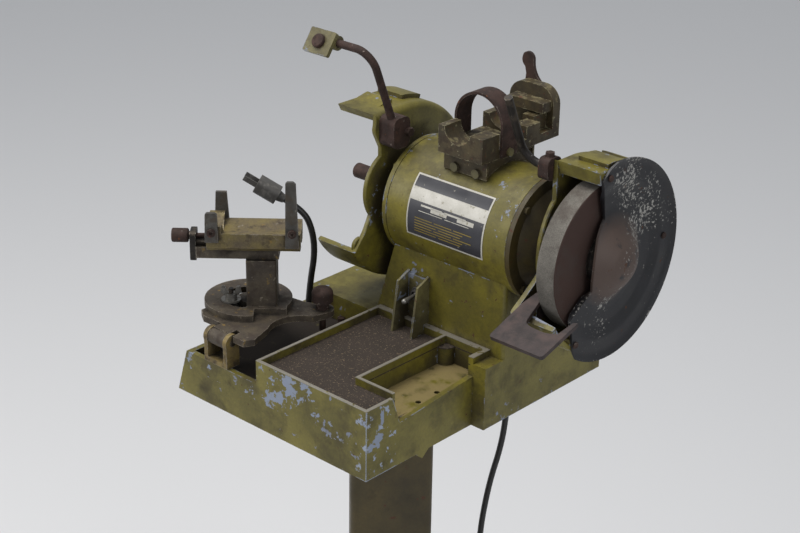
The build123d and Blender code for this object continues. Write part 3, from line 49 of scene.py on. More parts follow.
# ---- small helpers
def linear(hexColour):
    # sRGB hex to linear RGBA
    parts = [int(hexColour[i:i + 2], 16) / 255 for i in (1, 3, 5)]
    return tuple(c / 12.92 if c <= 0.04045 else ((c + 0.055) / 1.055) ** 2.4 for c in parts) + (1.0,)


def addNode(tree, kind, links=None, **settings):
    # one node, its settings and its inputs: an input takes a socket or a value
    node = tree.nodes.new(kind)
    for key, value in settings.items():
        setattr(node, key, value)
    for key, value in (links or {}).items():
        if isinstance(value, bpy.types.NodeSocket):
            tree.links.new(value, node.inputs[key])
        else:
            node.inputs[key].default_value = value
    return node


def wornSurface(name, look):
    # A finish is a base with a slow mottle, then layers of what covers it or shows through.
    # Each layer is a noise cut off at a level, and may also gather at edges or in a box of the object.
    material = bpy.data.materials.new(name)
    material.use_nodes = True
    tree = material.node_tree
    tree.nodes.clear()
    place = addNode(tree, "ShaderNodeTexCoord").outputs["Object"]
    normal = addNode(tree, "ShaderNodeNewGeometry").outputs["Normal"]

    def noiseAt(where, sizeMm, detail, roughness=0.5):
        # noise with features of this real size
        return addNode(tree, "ShaderNodeTexNoise", {"Vector": where, "Scale": 1000.0 / sizeMm, "Detail": detail,
                                                    "Roughness": roughness}).outputs["Fac"]

    def spread(value, low, high, toLow=0.0, toHigh=1.0):
        # one range of values mapped to another and held at its ends
        return addNode(tree, "ShaderNodeMapRange", {"Value": value, "From Min": low, "From Max": high,
                                                    "To Min": toLow, "To Max": toHigh}).outputs["Result"]

    def blend(share, under, over, **settings):
        return addNode(tree, "ShaderNodeMixRGB", {"Fac": share, "Color1": under, "Color2": over},
                       **settings).outputs["Color"]

    def maths(operation, first, second):
        return addNode(tree, "ShaderNodeMath", {0: first, 1: second}, operation=operation).outputs["Value"]

    def vectors(operation, *inputs, output="Vector"):
        return addNode(tree, "ShaderNodeVectorMath", dict(enumerate(inputs)), operation=operation).outputs[output]

    def grey(value):
        return (value,) * 3 + (1.0,)

    mottle = noiseAt(place, look.get("mottleMm", 60), 6.0, 0.6)
    colour = blend(spread(mottle, 0.36, 0.64), linear(look["base"]), linear(look["shade"]))
    grain = noiseAt(place, look.get("grainMm", 2.5), 4.0, 0.65)
    grainGain = look.get("grain", 0.2)
    grainSpread = spread(grain, 0.3, 0.7, 1 - grainGain, 1 + grainGain)
    colour = blend(1.0, colour, grainSpread, blend_type="MULTIPLY")
    rough = spread(mottle, 0.3, 0.7, look["rough"] - 0.08, look["rough"] + 0.08)
    height = maths("MULTIPLY", grain, look.get("grainHigh", 0.25))
    metal = None
    widest = max((layer.get("edgeMm", 0) for layer in look["layers"]), default=0)
    if widest:
        rounded = addNode(tree, "ShaderNodeBevel", {"Radius": widest / 1000}, samples=6).outputs["Normal"]
        edge = spread(vectors("DOT_PRODUCT", rounded, normal, output="Value"), 0.995, 0.86)
    for number, layer in enumerate(look["layers"]):
        shifted = vectors("ADD", place, (0.37 * (number + 1), 0.11 * number, 0.7))
        noise = noiseAt(shifted, layer["sizeMm"], layer.get("detail", 5.0), 0.62)
        if layer.get("clusterMm"):
            # patches gather where a slower noise is high
            gain = layer.get("clusterGain", 0.12)
            noise = maths("ADD", noise, spread(noiseAt(place, layer["clusterMm"], 2.0), 0.35, 0.65, -gain, gain))
        if layer.get("edgeMm"):
            # wears where the rounded normal turns away from the face's own
            noise = maths("ADD", noise, maths("MULTIPLY", edge, layer.get("edgeGain", 0.25)))
        if layer.get("upward"):
            # settles on faces that look up
            tilt = addNode(tree, "ShaderNodeSeparateXYZ", {"Vector": normal}).outputs["Z"]
            noise = maths("ADD", noise, spread(tilt, 0.2, 0.95, -layer["upward"], 0.0))
        if layer.get("paintedShadeMm"):
            # painted shade: the layer gathers where ambient occlusion finds corners and hollows
            openness = addNode(tree, "ShaderNodeAmbientOcclusion", {"Distance": layer["paintedShadeMm"] / 1000},
                               samples=6).outputs["AO"]
            noise = maths("ADD", noise, spread(openness, 0.35, 0.95, 0.3, -0.05))
        soft = layer.get("soft", 0.012)
        mask = spread(noise, layer["level"] - soft, layer["level"] + soft)
        for low, high in layer.get("inside", ()):
            # a box of the object: the largest of |place - middle| / half size over x, y and z is below 1
            middle = [(a + b) / 2 for a, b in zip(low, high)]
            half = [(b - a) / 2 for a, b in zip(low, high)]
            share = vectors("ABSOLUTE", vectors("DIVIDE", vectors("SUBTRACT", place, middle), half))
            parts = addNode(tree, "ShaderNodeSeparateXYZ", {"Vector": share}).outputs
            largest = maths("MAXIMUM", maths("MAXIMUM", parts["X"], parts["Y"]), parts["Z"])
            mask = maths("MULTIPLY", mask, maths("LESS_THAN", largest, 1.0))
        if layer.get("round"):
            # fades out between two distances from the motor axis
            arm = vectors("SUBTRACT", place, (0.0, axisY, axisZ))
            away = vectors("LENGTH", vectors("MULTIPLY", arm, (0.0, 1.0, 1.0)), output="Value")
            mask = maths("MULTIPLY", mask, spread(away, *layer["round"], 1.0, 0.0))
        strength = maths("MULTIPLY", mask, layer.get("cover", 1.0))
        tint = linear(layer["colour"])
        if layer.get("second"):
            tint = blend(grainSpread, linear(layer["second"]), tint)
        colour = blend(strength, colour, tint)
        rough = blend(strength, rough, grey(layer["rough"]))
        if layer.get("metallic") is not None:
            before = metal if metal is not None else grey(look.get("metallic", 0.0))
            metal = blend(strength, before, grey(layer["metallic"]))
        if layer.get("high"):
            height = maths("ADD", height, maths("MULTIPLY", mask, layer["high"]))
    bump = addNode(tree, "ShaderNodeBump", {"Height": height, "Strength": look.get("bump", 0.35),
                                            "Distance": 0.001}).outputs["Normal"]
    shader = addNode(tree, "ShaderNodeBsdfPrincipled", {
        "Base Color": colour, "Roughness": rough, "Normal": bump,
        "Metallic": metal if metal is not None else look.get("metallic", 0.0)})
    addNode(tree, "ShaderNodeOutputMaterial", {"Surface": shader.outputs["BSDF"]})
    return material


def smoothed(obj):
    # round faces shade smoothly, corners stay crisp; the vertices stay as imported
    mesh = obj.data
    if "custom_normal" in mesh.attributes:
        mesh.attributes.remove(mesh.attributes["custom_normal"])
    mesh.polygons.foreach_set("use_smooth", np.ones(len(mesh.polygons), bool))
    obj.modifiers.new("merge", "WELD").merge_threshold = 0.00002
    obj.modifiers.new("corners", "EDGE_SPLIT").split_angle = creaseAngle


def finishNodes(names, material):
    for name in names:
        obj = cad[name]
        obj.data.materials.clear()
        obj.data.materials.append(material)
        smoothed(obj)


def metres(profile):
    # a profile given in millimetres
    return np.array(profile) / 1000


def gridPoints(x, y, z):
    # coordinates that follow one or both parameters, spread over the whole grid
    return np.stack(np.broadcast_arrays(x, y, z), axis=-1)


def gridShape(points, closeU=False, closeV=False):
    # points[i, j] on a grid of two parameters becomes quads, closed round u or v when asked
    rows, columns = points.shape[:2]
    index = np.arange(rows * columns).reshape(rows, columns)
    if closeU:
        index = np.vstack([index, index[:1]])
    if closeV:
        index = np.hstack([index, index[:, :1]])
    quads = np.stack([index[:-1, :-1], index[1:, :-1], index[1:, 1:], index[:-1, 1:]], axis=-1).reshape(-1, 4)
    return points.reshape(-1, 3).tolist(), quads.tolist()


def slabShape(outline, near, far, place):
    # closed slab between two depths; place maps (a, b, depth) to a point
    count = len(outline)
    a, b = np.tile(outline, (2, 1)).T
    points = gridPoints(*place(a, b, np.repeat((near, far), count))).tolist()
    faces = [list(range(count))[::-1], list(range(count, 2 * count))]
    faces += [[i, (i + 1) % count, count + (i + 1) % count, count + i] for i in range(count)]
    return points, faces


def upright(y, rise, x):
    # a slab across x, its outline's rise measured from the base's lower edge
    return x, y, baseZ + rise


def meshObject(name, points, faces):
    mesh = bpy.data.meshes.new(name)
    mesh.from_pydata(points, [], faces)
    mesh.polygons.foreach_set("use_smooth", np.ones(len(mesh.polygons), bool))
    mesh.update()
    obj = bpy.data.objects.new(name, mesh)
    bpy.context.scene.collection.objects.link(obj)
    return obj


def makePiece(name, shapes, material, body, nodes=()):
    # closed shapes become one piece of the part, on its body, in place of these nodes
    points, faces = [], []
    for shapePoints, shapeFaces in shapes:
        faces += [[len(points) + i for i in face] for face in shapeFaces]
        points += shapePoints
    obj = meshObject(name, points, faces)
    work = bmesh.new()
    work.from_mesh(obj.data)
    bmesh.ops.remove_doubles(work, verts=work.verts, dist=1e-6)
    bmesh.ops.dissolve_degenerate(work, edges=work.edges, dist=1e-7)
    bmesh.ops.recalc_face_normals(work, faces=work.faces)
    for face in work.faces:
        face.smooth = True
    work.to_mesh(obj.data)
    work.free()
    obj.data.materials.append(material)
    obj.modifiers.new("corners", "EDGE_SPLIT").split_angle = creaseAngle
    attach(obj, body)
    for node in nodes:
        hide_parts(node)


def arcThrough(start, via, end, count):
    # points from start to end on the circle through three points: middle + r (cos t, sin t)
    (ax, ay), (bx, by), (cx, cy) = start, via, end
    d = 2 * (ax * (by - cy) + bx * (cy - ay) + cx * (ay - by))
    mx = ((ax**2 + ay**2) * (by - cy) + (bx**2 + by**2) * (cy - ay) + (cx**2 + cy**2) * (ay - by)) / d
    my = ((ax**2 + ay**2) * (cx - bx) + (bx**2 + by**2) * (ax - cx) + (cx**2 + cy**2) * (bx - ax)) / d
    r = math.hypot(ax - mx, ay - my)
    begin, mid, to = (math.atan2(y - my, x - mx) for x, y in (start, via, end))
    sweep = (to - begin) % (2 * math.pi)
    if (mid - begin) % (2 * math.pi) > sweep:
        sweep -= 2 * math.pi
    turn = begin + sweep * np.arange(count + 1) / count
    return list(zip(mx + r * np.cos(turn), my + r * np.sin(turn)))


def edgeRadius(angles, start):
    # distance from the origin to a closed outline at each angle, where a ray first meets one of its sides:
    # reach = (start x side) / (ray x side), share along the side = (start x ray) / (ray x side)
    side = np.roll(start, -1, axis=0) - start
    rayY, rayZ = np.cos(angles)[:, None], np.sin(angles)[:, None]
    det = rayY * side[:, 1] - rayZ * side[:, 0]
    det = np.where(abs(det) < 1e-12, 1e-12, det)
    reach = (start[:, 0] * side[:, 1] - start[:, 1] * side[:, 0]) / det
    share = (start[:, 0] * rayZ - start[:, 1] * rayY) / det
    hit = (reach > 0) & (share >= -1e-9) & (share <= 1 + 1e-9)
    return np.where(hit, reach, 1e9).min(axis=1)


def roundBar(y, z, r, xFrom, xTo, bevel=0.0006):
    # closed cylinder along x: a ring at x of radius q is y + q cos t, z + q sin t
    turn = np.linspace(0, 2 * np.pi, 28, endpoint=False)
    rings = ((xFrom, pointR), (xFrom, r - bevel), (xFrom + bevel, r), (xTo - bevel, r), (xTo, r - bevel), (xTo, pointR))
    x, q = np.array(rings).T[:, :, None]
    return gridShape(gridPoints(x, y + q * np.cos(turn), z + q * np.sin(turn)), closeV=True)


# ---- finishes
rust = "#4b3020"
darkRust = "#2b1b13"
primer = "#747a88"

# old enamel over grey-blue primer on cast iron: soft gloss, chipped along edges, grime patches with painted shade in
# corners
mustardLook = {
    "base": "#6f661f", "shade": "#575017", "mottleMm": 70, "grainMm": 3, "grain": 0.16, "rough": 0.45, "bump": 0.25,
    "layers": (
        {"colour": "#332b11", "sizeMm": 45, "level": 0.55, "soft": 0.08, "rough": 0.65, "cover": 0.6},
        # dark grime patches, pushed into corners and hollows by ambient occlusion: grime with painted shade
        {"colour": "#2b2210", "sizeMm": 25, "level": 0.66, "soft": 0.12, "rough": 0.8, "cover": 0.85,
         "paintedShadeMm": 30},
        {"colour": primer, "second": "#8b8f98", "sizeMm": 13, "level": 0.68, "soft": 0.01, "rough": 0.6,
         "clusterMm": 90, "clusterGain": 0.1, "edgeMm": 2.2, "edgeGain": 0.13, "high": -0.4, "detail": 6.0},
        {"colour": rust, "sizeMm": 7, "level": 0.685, "soft": 0.02, "rough": 0.85, "high": -0.2},
        {"colour": "#a5a295", "sizeMm": 5, "level": 0.74, "soft": 0.015, "rough": 0.6},
    )}
mustard = wornSurface("mustardEnamel", mustardLook)

# darker coat for the column and the right end bell: the mustard enamel painted darker as painted shade under the base
# and between barrel and guard, with grime; brown where oil ran down
shadedMustardLook = dict(mustardLook, base="#463a12", shade="#2f260c", rough=0.5,
                  layers=mustardLook["layers"][:2] + ({"colour": rust, "sizeMm": 9, "level": 0.66, "soft": 0.03,
                                                       "rough": 0.85},))
shadedMustardPaint = wornSurface("mustardEnamelPaintedShade", shadedMustardLook)

# the same enamel on the base casting, with grit on the tray's floor and a rubbed bright rim
trayLow = (-0.0262, -0.1952, baseZ + 0.0770)
trayHigh = (0.1420, 0.0030, baseZ + 0.0785)
rimLow = (-0.0300, -0.1985, baseZ + 0.0872)
rimHigh = (0.1465, 0.0100, baseZ + 0.0890)
shelfLow = (0.0850, -0.1445, baseZ + 0.0540)
shelfHigh = (0.1400, 0.0030, baseZ + 0.0556)
bayLow = (-0.1450, -0.1915, baseZ + 0.0450)
bayHigh = (-0.0358, 0.0030, baseZ + 0.0470)
deckLow = (-0.1700, 0.0101, baseZ + 0.0860)
deckHigh = (0.1700, 0.3200, baseZ + 0.0905)
frontLow = (-0.1600, -0.2100, baseZ + 0.0350)
frontHigh = (0.1500, -0.1700, baseZ + 0.0868)
cornerLow = (0.1300, -0.2100, baseZ - 0.0020)
cornerHigh = (0.1500, -0.1500, baseZ + 0.0868)
baseLook = dict(mustardLook)
baseLook["layers"] = mustardLook["layers"] + (
    {"colour": "#7f8899", "second": "#9aa1ac", "sizeMm": 15, "level": 0.575, "soft": 0.01, "rough": 0.6, "high": -0.4,
     "detail": 8.0, "clusterMm": 60, "clusterGain": 0.1, "inside": ((frontLow, frontHigh),)},
    {"colour": "#8f98a9", "second": "#a5abb5", "sizeMm": 12, "level": 0.6, "soft": 0.01, "rough": 0.6, "high": -0.4,
     "detail": 8.0, "edgeMm": 2.2, "edgeGain": 0.3, "inside": ((cornerLow, cornerHigh),)},
    {"colour": "#35291a", "second": "#241b12", "sizeMm": 40, "level": 0.38, "soft": 0.12, "rough": 0.85, "cover": 0.85,
     "inside": ((deckLow, deckHigh),)},
    {"colour": "#302720", "second": "#1a1410", "sizeMm": 2.2, "level": 0.2, "soft": 0.05, "rough": 0.9, "high": 0.5,
     "inside": ((trayLow, trayHigh),)},
    {"colour": "#2a221b", "sizeMm": 30, "level": 0.52, "soft": 0.08, "rough": 0.9, "cover": 0.7,
     "inside": ((trayLow, trayHigh),)},
    {"colour": "#6d5d4a", "sizeMm": 1.8, "level": 0.62, "soft": 0.02, "rough": 0.8, "inside": ((trayLow, trayHigh),)},
    {"colour": "#7a6b42", "second": "#5c4c35", "sizeMm": 20, "level": 0.42, "soft": 0.08, "rough": 0.85, "cover": 0.85,
     "inside": ((shelfLow, shelfHigh),)},
    {"colour": "#241c15", "second": "#33291f", "sizeMm": 14, "level": 0.3, "soft": 0.08, "rough": 0.9,
     "inside": ((bayLow, bayHigh),)},
    {"colour": "#9a958a", "second": "#7d786c", "sizeMm": 16, "level": 0.40, "soft": 0.03, "rough": 0.42,
     "metallic": 0.6, "inside": ((rimLow, rimHigh),)},
)
basePaint = wornSurface("mustardEnamelBase", baseLook)

# pressed steel under black paint that flakes to grey: flakes stand off, dome rubbed to a reddish grey
coverLook = {
    "base": "#0f0f12", "shade": "#17171b", "mottleMm": 40, "grainMm": 2, "grain": 0.2, "rough": 0.5, "bump": 0.5,
    "layers": (
        {"colour": "#4a3b33", "second": "#3a302b", "sizeMm": 18, "level": 0.36, "soft": 0.06, "rough": 0.6,
         "high": -0.1, "round": (0.040, 0.056)},
        {"colour": "#97958f", "second": "#5f5d5b", "sizeMm": 3.6, "level": 0.66, "soft": 0.03, "rough": 0.7,
         "clusterMm": 70, "clusterGain": 0.13, "edgeMm": 3.0, "edgeGain": 0.08, "high": -0.4, "detail": 8.0},
        {"colour": rust, "sizeMm": 12, "level": 0.68, "soft": 0.02, "rough": 0.85, "high": -0.2},
    )}
coverBlack = wornSurface("flakingBlackPaint", coverLook)

# aluminium-oxide wheel: coarse open grit, rim dressed pale, flat sides dark with a red tinge
wheelLook = {
    "base": "#6a665f", "shade": "#5a5650", "mottleMm": 30, "grainMm": 1.2, "grain": 0.35, "rough": 0.92, "bump": 0.8,
    "grainHigh": 0.5,
    "layers": (
        {"colour": "#3a2720", "second": "#2a1e1a", "sizeMm": 25, "level": 0.2, "soft": 0.1, "rough": 0.9,
         "inside": (((0.2536, -0.02, 0.89), (0.2560, 0.16, 1.08)),)},
        {"colour": "#3a2f29", "sizeMm": 30, "level": 0.57, "soft": 0.05, "rough": 0.9, "cover": 0.5},
    )}
wheelGrit = wornSurface("aluminiumOxideGrit", wheelLook)

# steel left bare for years: brown rust with darker pits and rubbed dull spots
rustLook = {
    "base": "#3b2c23", "shade": "#291e18", "mottleMm": 18, "grainMm": 1.6, "grain": 0.28, "rough": 0.75, "bump": 0.55,
    "metallic": 0.15,
    "layers": (
        {"colour": darkRust, "sizeMm": 9, "level": 0.56, "soft": 0.06, "rough": 0.85},
        {"colour": "#6c625a", "sizeMm": 8, "level": 0.68, "soft": 0.03, "rough": 0.5, "metallic": 0.5,
         "edgeMm": 1.6, "edgeGain": 0.15},
        {"colour": "#6d4026", "sizeMm": 6, "level": 0.68, "soft": 0.02, "rough": 0.9},
    )}

# the tool rest: the same steel, handled smooth, with a mauve bloom
restLook = dict(rustLook, base="#352a29", shade="#231b1b", rough=0.5, layers=(
    {"colour": "#4a3a36", "sizeMm": 26, "level": 0.55, "soft": 0.08, "rough": 0.6, "cover": 0.7},))
restSteel = wornSurface("handledSteel", restLook)

# reddish rust on the strap, the lever, the clamp and the round heads
redRustLook = dict(rustLook, base="#3c271f", shade="#281a15")
redRust = wornSurface("redRustedSteel", redRustLook)

# dark oiled steel: post, slide bar, right rod
darkSteelLook = {
    "base": "#2c2824", "shade": "#1f1b18", "mottleMm": 20, "grainMm": 1.6, "grain": 0.2, "rough": 0.5, "bump": 0.3,
    "metallic": 0.5,
    "layers": (
        {"colour": "#4c4338", "sizeMm": 14, "level": 0.57, "soft": 0.05, "rough": 0.7, "cover": 0.7},
        {"colour": "#77726a", "sizeMm": 7, "level": 0.67, "soft": 0.02, "rough": 0.4, "metallic": 0.8,
         "edgeMm": 1.5, "edgeGain": 0.16},
    )}
darkSteel = wornSurface("darkOiledSteel", darkSteelLook)

# tan castings of the drill holder: cast iron with a brown skin, bright on rubbed edges, painted shade in corners
tanLook = {
    "base": "#4f4638", "shade": "#39312a", "mottleMm": 22, "grainMm": 1.8, "grain": 0.22, "rough": 0.6, "bump": 0.5,
    "metallic": 0.2,
    "layers": (
        {"colour": "#3a3027", "sizeMm": 16, "level": 0.57, "soft": 0.06, "rough": 0.8, "cover": 0.8},
        {"colour": "#8b8274", "sizeMm": 9, "level": 0.69, "soft": 0.04, "rough": 0.45, "metallic": 0.5,
         "edgeMm": 1.8, "edgeGain": 0.22},
        {"colour": "#7a6437", "sizeMm": 12, "level": 0.66, "soft": 0.03, "rough": 0.7},
        # dark patches mostly in corners and hollows, by ambient occlusion: painted shade with some grime
        {"colour": "#1f1913", "sizeMm": 20, "level": 0.68, "soft": 0.1, "rough": 0.9, "cover": 0.8, "paintedShadeMm": 20},
    )}
tanCasting = wornSurface("brownCastIron", tanLook)

# the trough: yellow-olive paint almost rubbed away
troughLook = dict(tanLook, base="#6f6238", shade="#5a4f3c")
troughPaint = wornSurface("rubbedOlivePaint", troughLook)

# hinge ears: yellow zinc passivation gone dull
zincLook = dict(tanLook, base="#7d6b3c", shade="#5f5236")
zincSteel = wornSurface("yellowZincSteel", zincLook)

# top fixture: olive paint under oil and dust, pale along edges as rubbed paint and painted highlight
fixtureLook = {
    "base": "#453a20", "shade": "#2f2716", "mottleMm": 22, "grainMm": 2, "grain": 0.22, "rough": 0.6, "bump": 0.45,
    "layers": (
        {"colour": "#2e2112", "sizeMm": 14, "level": 0.56, "soft": 0.06, "rough": 0.8, "cover": 0.8},
        {"colour": "#6e6547", "sizeMm": 10, "level": 0.56, "soft": 0.05, "rough": 0.75, "cover": 0.8, "upward": 0.12},
        # pale on the edges: rubbed paint, and a painted highlight
        {"colour": "#8a8467", "sizeMm": 7, "level": 0.67, "soft": 0.02, "rough": 0.6, "edgeMm": 1.6, "edgeGain": 0.17},
        {"colour": "#54301f", "sizeMm": 9, "level": 0.66, "soft": 0.03, "rough": 0.85},
    )}
fixturePaint = wornSurface("oilyOlivePaint", fixtureLook)

# grey steel fingers, and the silvery wing nut
fingerLook = dict(darkSteelLook, base="#57544f", shade="#403d39")
fingerSteel = wornSurface("greyToolSteel", fingerLook)
wingLook = dict(darkSteelLook, base="#8d8b86", shade="#6d6a64", rough=0.35, metallic=0.7)
wingSteel = wornSurface("dullPlatedSteel", wingLook)

# yellow paint on the switch guard, the shield holder and the two round heads
yellowLook = dict(mustardLook, base="#6e6740", shade="#4e4932")
paleMustard = wornSurface("fadedMustardEnamel", yellowLook)

# moulded PVC plug, and the cord's rubber: fine grain, dust on top
plugLook = {
    "base": "#4a4845", "shade": "#3c3a38", "mottleMm": 12, "grainMm": 0.8, "grain": 0.12, "rough": 0.6, "bump": 0.2,
    "layers": ({"colour": "#6a6762", "sizeMm": 8, "level": 0.6, "soft": 0.06, "rough": 0.75, "cover": 0.6,
                "edgeMm": 1.2, "edgeGain": 0.1},)}
plugGrey = wornSurface("mouldedGreyPvc", plugLook)
rubberLook = {
    "base": "#0d0c0c", "shade": "#151413", "mottleMm": 25, "grainMm": 0.8, "grain": 0.15, "rough": 0.45, "bump": 0.12,
    "layers": ({"colour": "#2c2926", "sizeMm": 14, "level": 0.6, "soft": 0.08, "rough": 0.7, "cover": 0.5},)}
cordRubber = wornSurface("blackCordRubber", rubberLook)

# inside the motor
innerLook = {"base": "#5d5d60", "shade": "#4a4a4d", "mottleMm": 20, "grainMm": 1, "grain": 0.1, "rough": 0.45,
             "metallic": 0.8, "layers": ()}
innerSteel = wornSurface("siliconSteel", innerLook)
copperLook = dict(innerLook, base="#8a4a25", shade="#6e3a1d")
copperWire = wornSurface("enamelledCopper", copperLook)
print("finishes made")

finishNodes(("base_casting",), basePaint)
finishNodes(("motor_riser", "motor_barrel", "left_end_bell", "left_guard", "right_guard"), mustard)
# the right end bell and the column take the darker mustard: painted shade between barrel and guard and under the base,
# with grime
finishNodes(("right_end_bell",), shadedMustardPaint)
finishNodes(("column", "top_plate", "floor_plate"), shadedMustardPaint)
finishNodes(("guard_cover",), coverBlack)
finishNodes(("grinding_wheel",), wheelGrit)
finishNodes(("wheel_flanges", "wheel_nut", "guard_bolts", "rest_bolt", "swivel_pin", "hinge_pin", "right_shield_rod",
             "end_plate"), darkSteel)
finishNodes(("arbor_shaft", "left_shield_rod", "left_rod_clamp", "clamp_bolts", "right_rod_clamp", "shield_plate_bolt",
             "tilt_knob", "feed_screw", "finger_screws", "base_bolts", "cover_screws", "strap_arch",
             "index_lever"), redRust)
finishNodes(("tool_rest",), restSteel)
finishNodes(("switch_guard", "shield_plate", "fixture_screws"), paleMustard)
finishNodes(("switch_lever", "wing_nut"), wingSteel)
finishNodes(("hinge_bracket",), zincSteel)
finishNodes(("rocker_plate", "swivel_post"), tanCasting)
finishNodes(("carriage",), troughPaint)
finishNodes(("left_front_finger", "right_finger", "left_rear_finger"), fingerSteel)
finishNodes(("saddle_block", "channel_bracket", "cradle"), fixturePaint)
finishNodes(("switch_body", "cord_gland", "plug"), plugGrey)
finishNodes(("cord",), cordRubber)
finishNodes(("stator_core", "rotor", "left_bearing", "right_bearing", "start_capacitor"), innerSteel)
finishNodes(("stator_windings",), copperWire)
print("nodes dressed")


# ---- wheel guards and cover, in the photo's proportions
# in metres and degrees; angles run from the back over the top, depths run outwards from a guard's inner face
guardShape = {"rimR": 0.110, "rimForward": 0.004, "wall": 0.006, "deep": 0.063, "shoulder": 0.008, "fillet": 0.003,
              "edge": 0.0012, "innerEdge": 0.0008, "gapEdge": 0.0015, "hub": 0.0185, "jaw": 210,
              "swellStart": 6, "swellOver": 2.5, "lugR": 0.005, "lugRing": 0.1015, "lugX": (0.004, 0.0626),
              "screwAngles": (96, 0, 236),
              "padHigh": 0.005, "padSunk": 0.003, "padX": (0.020, 0.060)}
leftGuard = {"innerX": -0.035, "way": -1, "lipForward": 0.060, "lipThick": 0.011, "pads": ((70, 87), (96, 112)),
             "bossForward": 0.086, "bossLow": 0.050, "bossR": 0.0105, "bossX": (-0.009, -0.004)}
rightGuard = {"innerX": 0.201, "way": 1, "lipForward": 0.026, "lipThick": 0.016, "pads": ((56, 72), (78, 94)),
              "blockX": (0.005, 0.016)}


def aroundRim(angle, r):
    # point at an angle about the rim's centre: from the back, over the top
    return axisY - guardShape["rimForward"] + r * np.cos(angle), axisZ + r * np.sin(angle)


def guardGrid(side, front):
    # Polar grid about the rim's centre: at each angle a section through wall and rim, (x out, radius).
    # Between lip and jaw the rim is missing and the section shrinks to the wall.
    g = guardShape
    lipAngle = math.pi / 2 + math.atan2(side["lipForward"], g["rimR"])
    jawAngle = math.radians(g["jaw"] - 360)
    rim = np.linspace(jawAngle, lipAngle, 170)
    sliver = 0.0006  # turn between the last section of the rim and the first of the gap
    gap = np.linspace(lipAngle + sliver, jawAngle + 2 * np.pi - sliver, 90)
    lipTop = (-side["lipForward"], g["rimR"])
    tip = (g["rimR"] * math.cos(jawAngle), g["rimR"] * math.sin(jawAngle))
    farBack = ((0.3, -0.3), (0.3, 0.3))
    outline = np.vstack([lipTop, front + [g["rimForward"], 0], tip, farBack])

    def joined(onRim, onGap):
        # one value per angle, those of the rim first
        return np.concatenate([onRim + 0 * rim, onGap + 0 * gap])[:, None]

    # past the top the lip runs straight, so its radius is rimR / cos(angle past the top)
    lipR = g["rimR"] / np.cos(np.maximum(rim - math.pi / 2, 0))
    swell = np.clip((rim - lipAngle + math.radians(g["swellStart"])) / math.radians(g["swellOver"]), 0, 1)
    angle, r = joined(rim, gap), joined(lipR, edgeRadius(gap, outline))
    deep = joined(g["deep"], g["wall"])
    thick = joined(g["wall"] + (side["lipThick"] - g["wall"]) * swell, g["wall"])
    corner, fillet = joined(g["shoulder"], g["gapEdge"]), joined(g["fillet"], 0)
    zero, wall, hub = 0 * r, g["wall"] + 0 * r, g["hub"] + 0 * r
    # the shoulder's quarter circle: x out = corner (1 - cos t), radius = r - corner (1 - sin t)
    turn = np.linspace(0.2, 1.571, 7)
    out = np.hstack([zero, zero, zero, corner * (1 - np.cos(turn)), deep - g["edge"], deep, deep,
                     deep - g["innerEdge"], wall + fillet, wall, wall, wall])
    radius = np.hstack([hub, 0.6 * r, r - corner, r - corner * (1 - np.sin(turn)), r, r - g["edge"],
                        r - thick + g["innerEdge"], r - thick, r - thick, r - thick - fillet - 0.0004, 0.6 * r, hub])
    x = side["innerX"] + side["way"] * out
    return gridShape(gridPoints(x, *aroundRim(angle, radius)), closeU=True, closeV=True)


def rimPad(side, fromAngle, toAngle):
    # arc-shaped pad on the rim; its section shrinks to a point at both ends
    g = guardShape
    angles = np.radians(np.linspace(fromAngle, toAngle, 14))
    turn = np.concatenate([angles[:1], angles, angles[-1:]])[:, None]
    size = np.concatenate([[1e-5], np.ones(len(angles)), [1e-5]])[:, None]
    (xFrom, xTo), foot, top = g["padX"], g["rimR"] - g["padSunk"], g["rimR"] + g["padHigh"]
    section = np.array(((xFrom, foot), (xFrom, top), (xTo, top), (xTo, foot)))
    middle = section.mean(axis=0)
    x, r = (middle + (section - middle) * size[:, :, None]).transpose(2, 0, 1)
    return gridShape(gridPoints(side["innerX"] + side["way"] * x, *aroundRim(turn, r)), closeV=True)


def makeGuards():
    g = guardShape
    leftFront = [(-64, 99), (-66, 90), (-55, 68)] + arcThrough((-55, 57), (-80, 24), (-72, -14), 16) + [(-82, -34)]
    rightFront = [(-30, 94), (-30, 62)] + arcThrough((-33, 60), (-53, 18), (-52, -22), 16) + [(-84, -46)]
    for node, side, front in (("left_guard", leftGuard, leftFront), ("right_guard", rightGuard, rightFront)):
        innerX, way = side["innerX"], side["way"]
        grids = [guardGrid(side, metres(front))]
        grids += [rimPad(side, *pad) for pad in side["pads"]]
        for angle in g["screwAngles"]:
            lug = aroundRim(math.radians(angle), g["lugRing"])
            grids.append(roundBar(*lug, g["lugR"], *(innerX + way * x for x in g["lugX"])))
        if side is leftGuard:
            # round boss at the front, below the arbor
            grids.append(roundBar(axisY - side["bossForward"], axisZ - side["bossLow"], side["bossR"],
                                  *(innerX + x for x in side["bossX"])))
        else:
            # block that carries the tool rest
            block = metres([(2, 157), (22, 157), (22, 173), (2, 173)])
            grids.append(slabShape(block, *(innerX + x for x in side["blockX"]), upright))
        makePiece(node + "Shell", grids, mustard, "base", (node,))


coverShape = {"r": 0.1185, "thick": 0.003, "rimX": 0.264, "clear": 0.0001, "step": 0.0015, "screwR": 0.004,
              "headX": (0.0025, 0.0056), "headEdge": 0.001}


def coverDepth(radii):
    # the pressed profile: dome, valley, seat ring and a curled edge, smoothed by a moving mean
    known = (0, 12, 22, 32, 40, 46, 54, 62, 80, 88, 93, 110, 114, 118.5, 140)
    high = (24, 23, 19.5, 12.5, 5.5, 0, -4, -5, -5, -2, 0, 0, 0.8, 4, 12)
    fine = np.arange(0, 140, 0.5)
    values = np.interp(fine, known, high)
    mirrored = np.concatenate([values[:0:-1], values])
    soft = np.convolve(np.convolve(mirrored, np.ones(7) / 7, "same"), np.ones(5) / 5, "same")[len(fine) - 1:]
    return np.interp(radii * 1000, fine, soft) / 1000


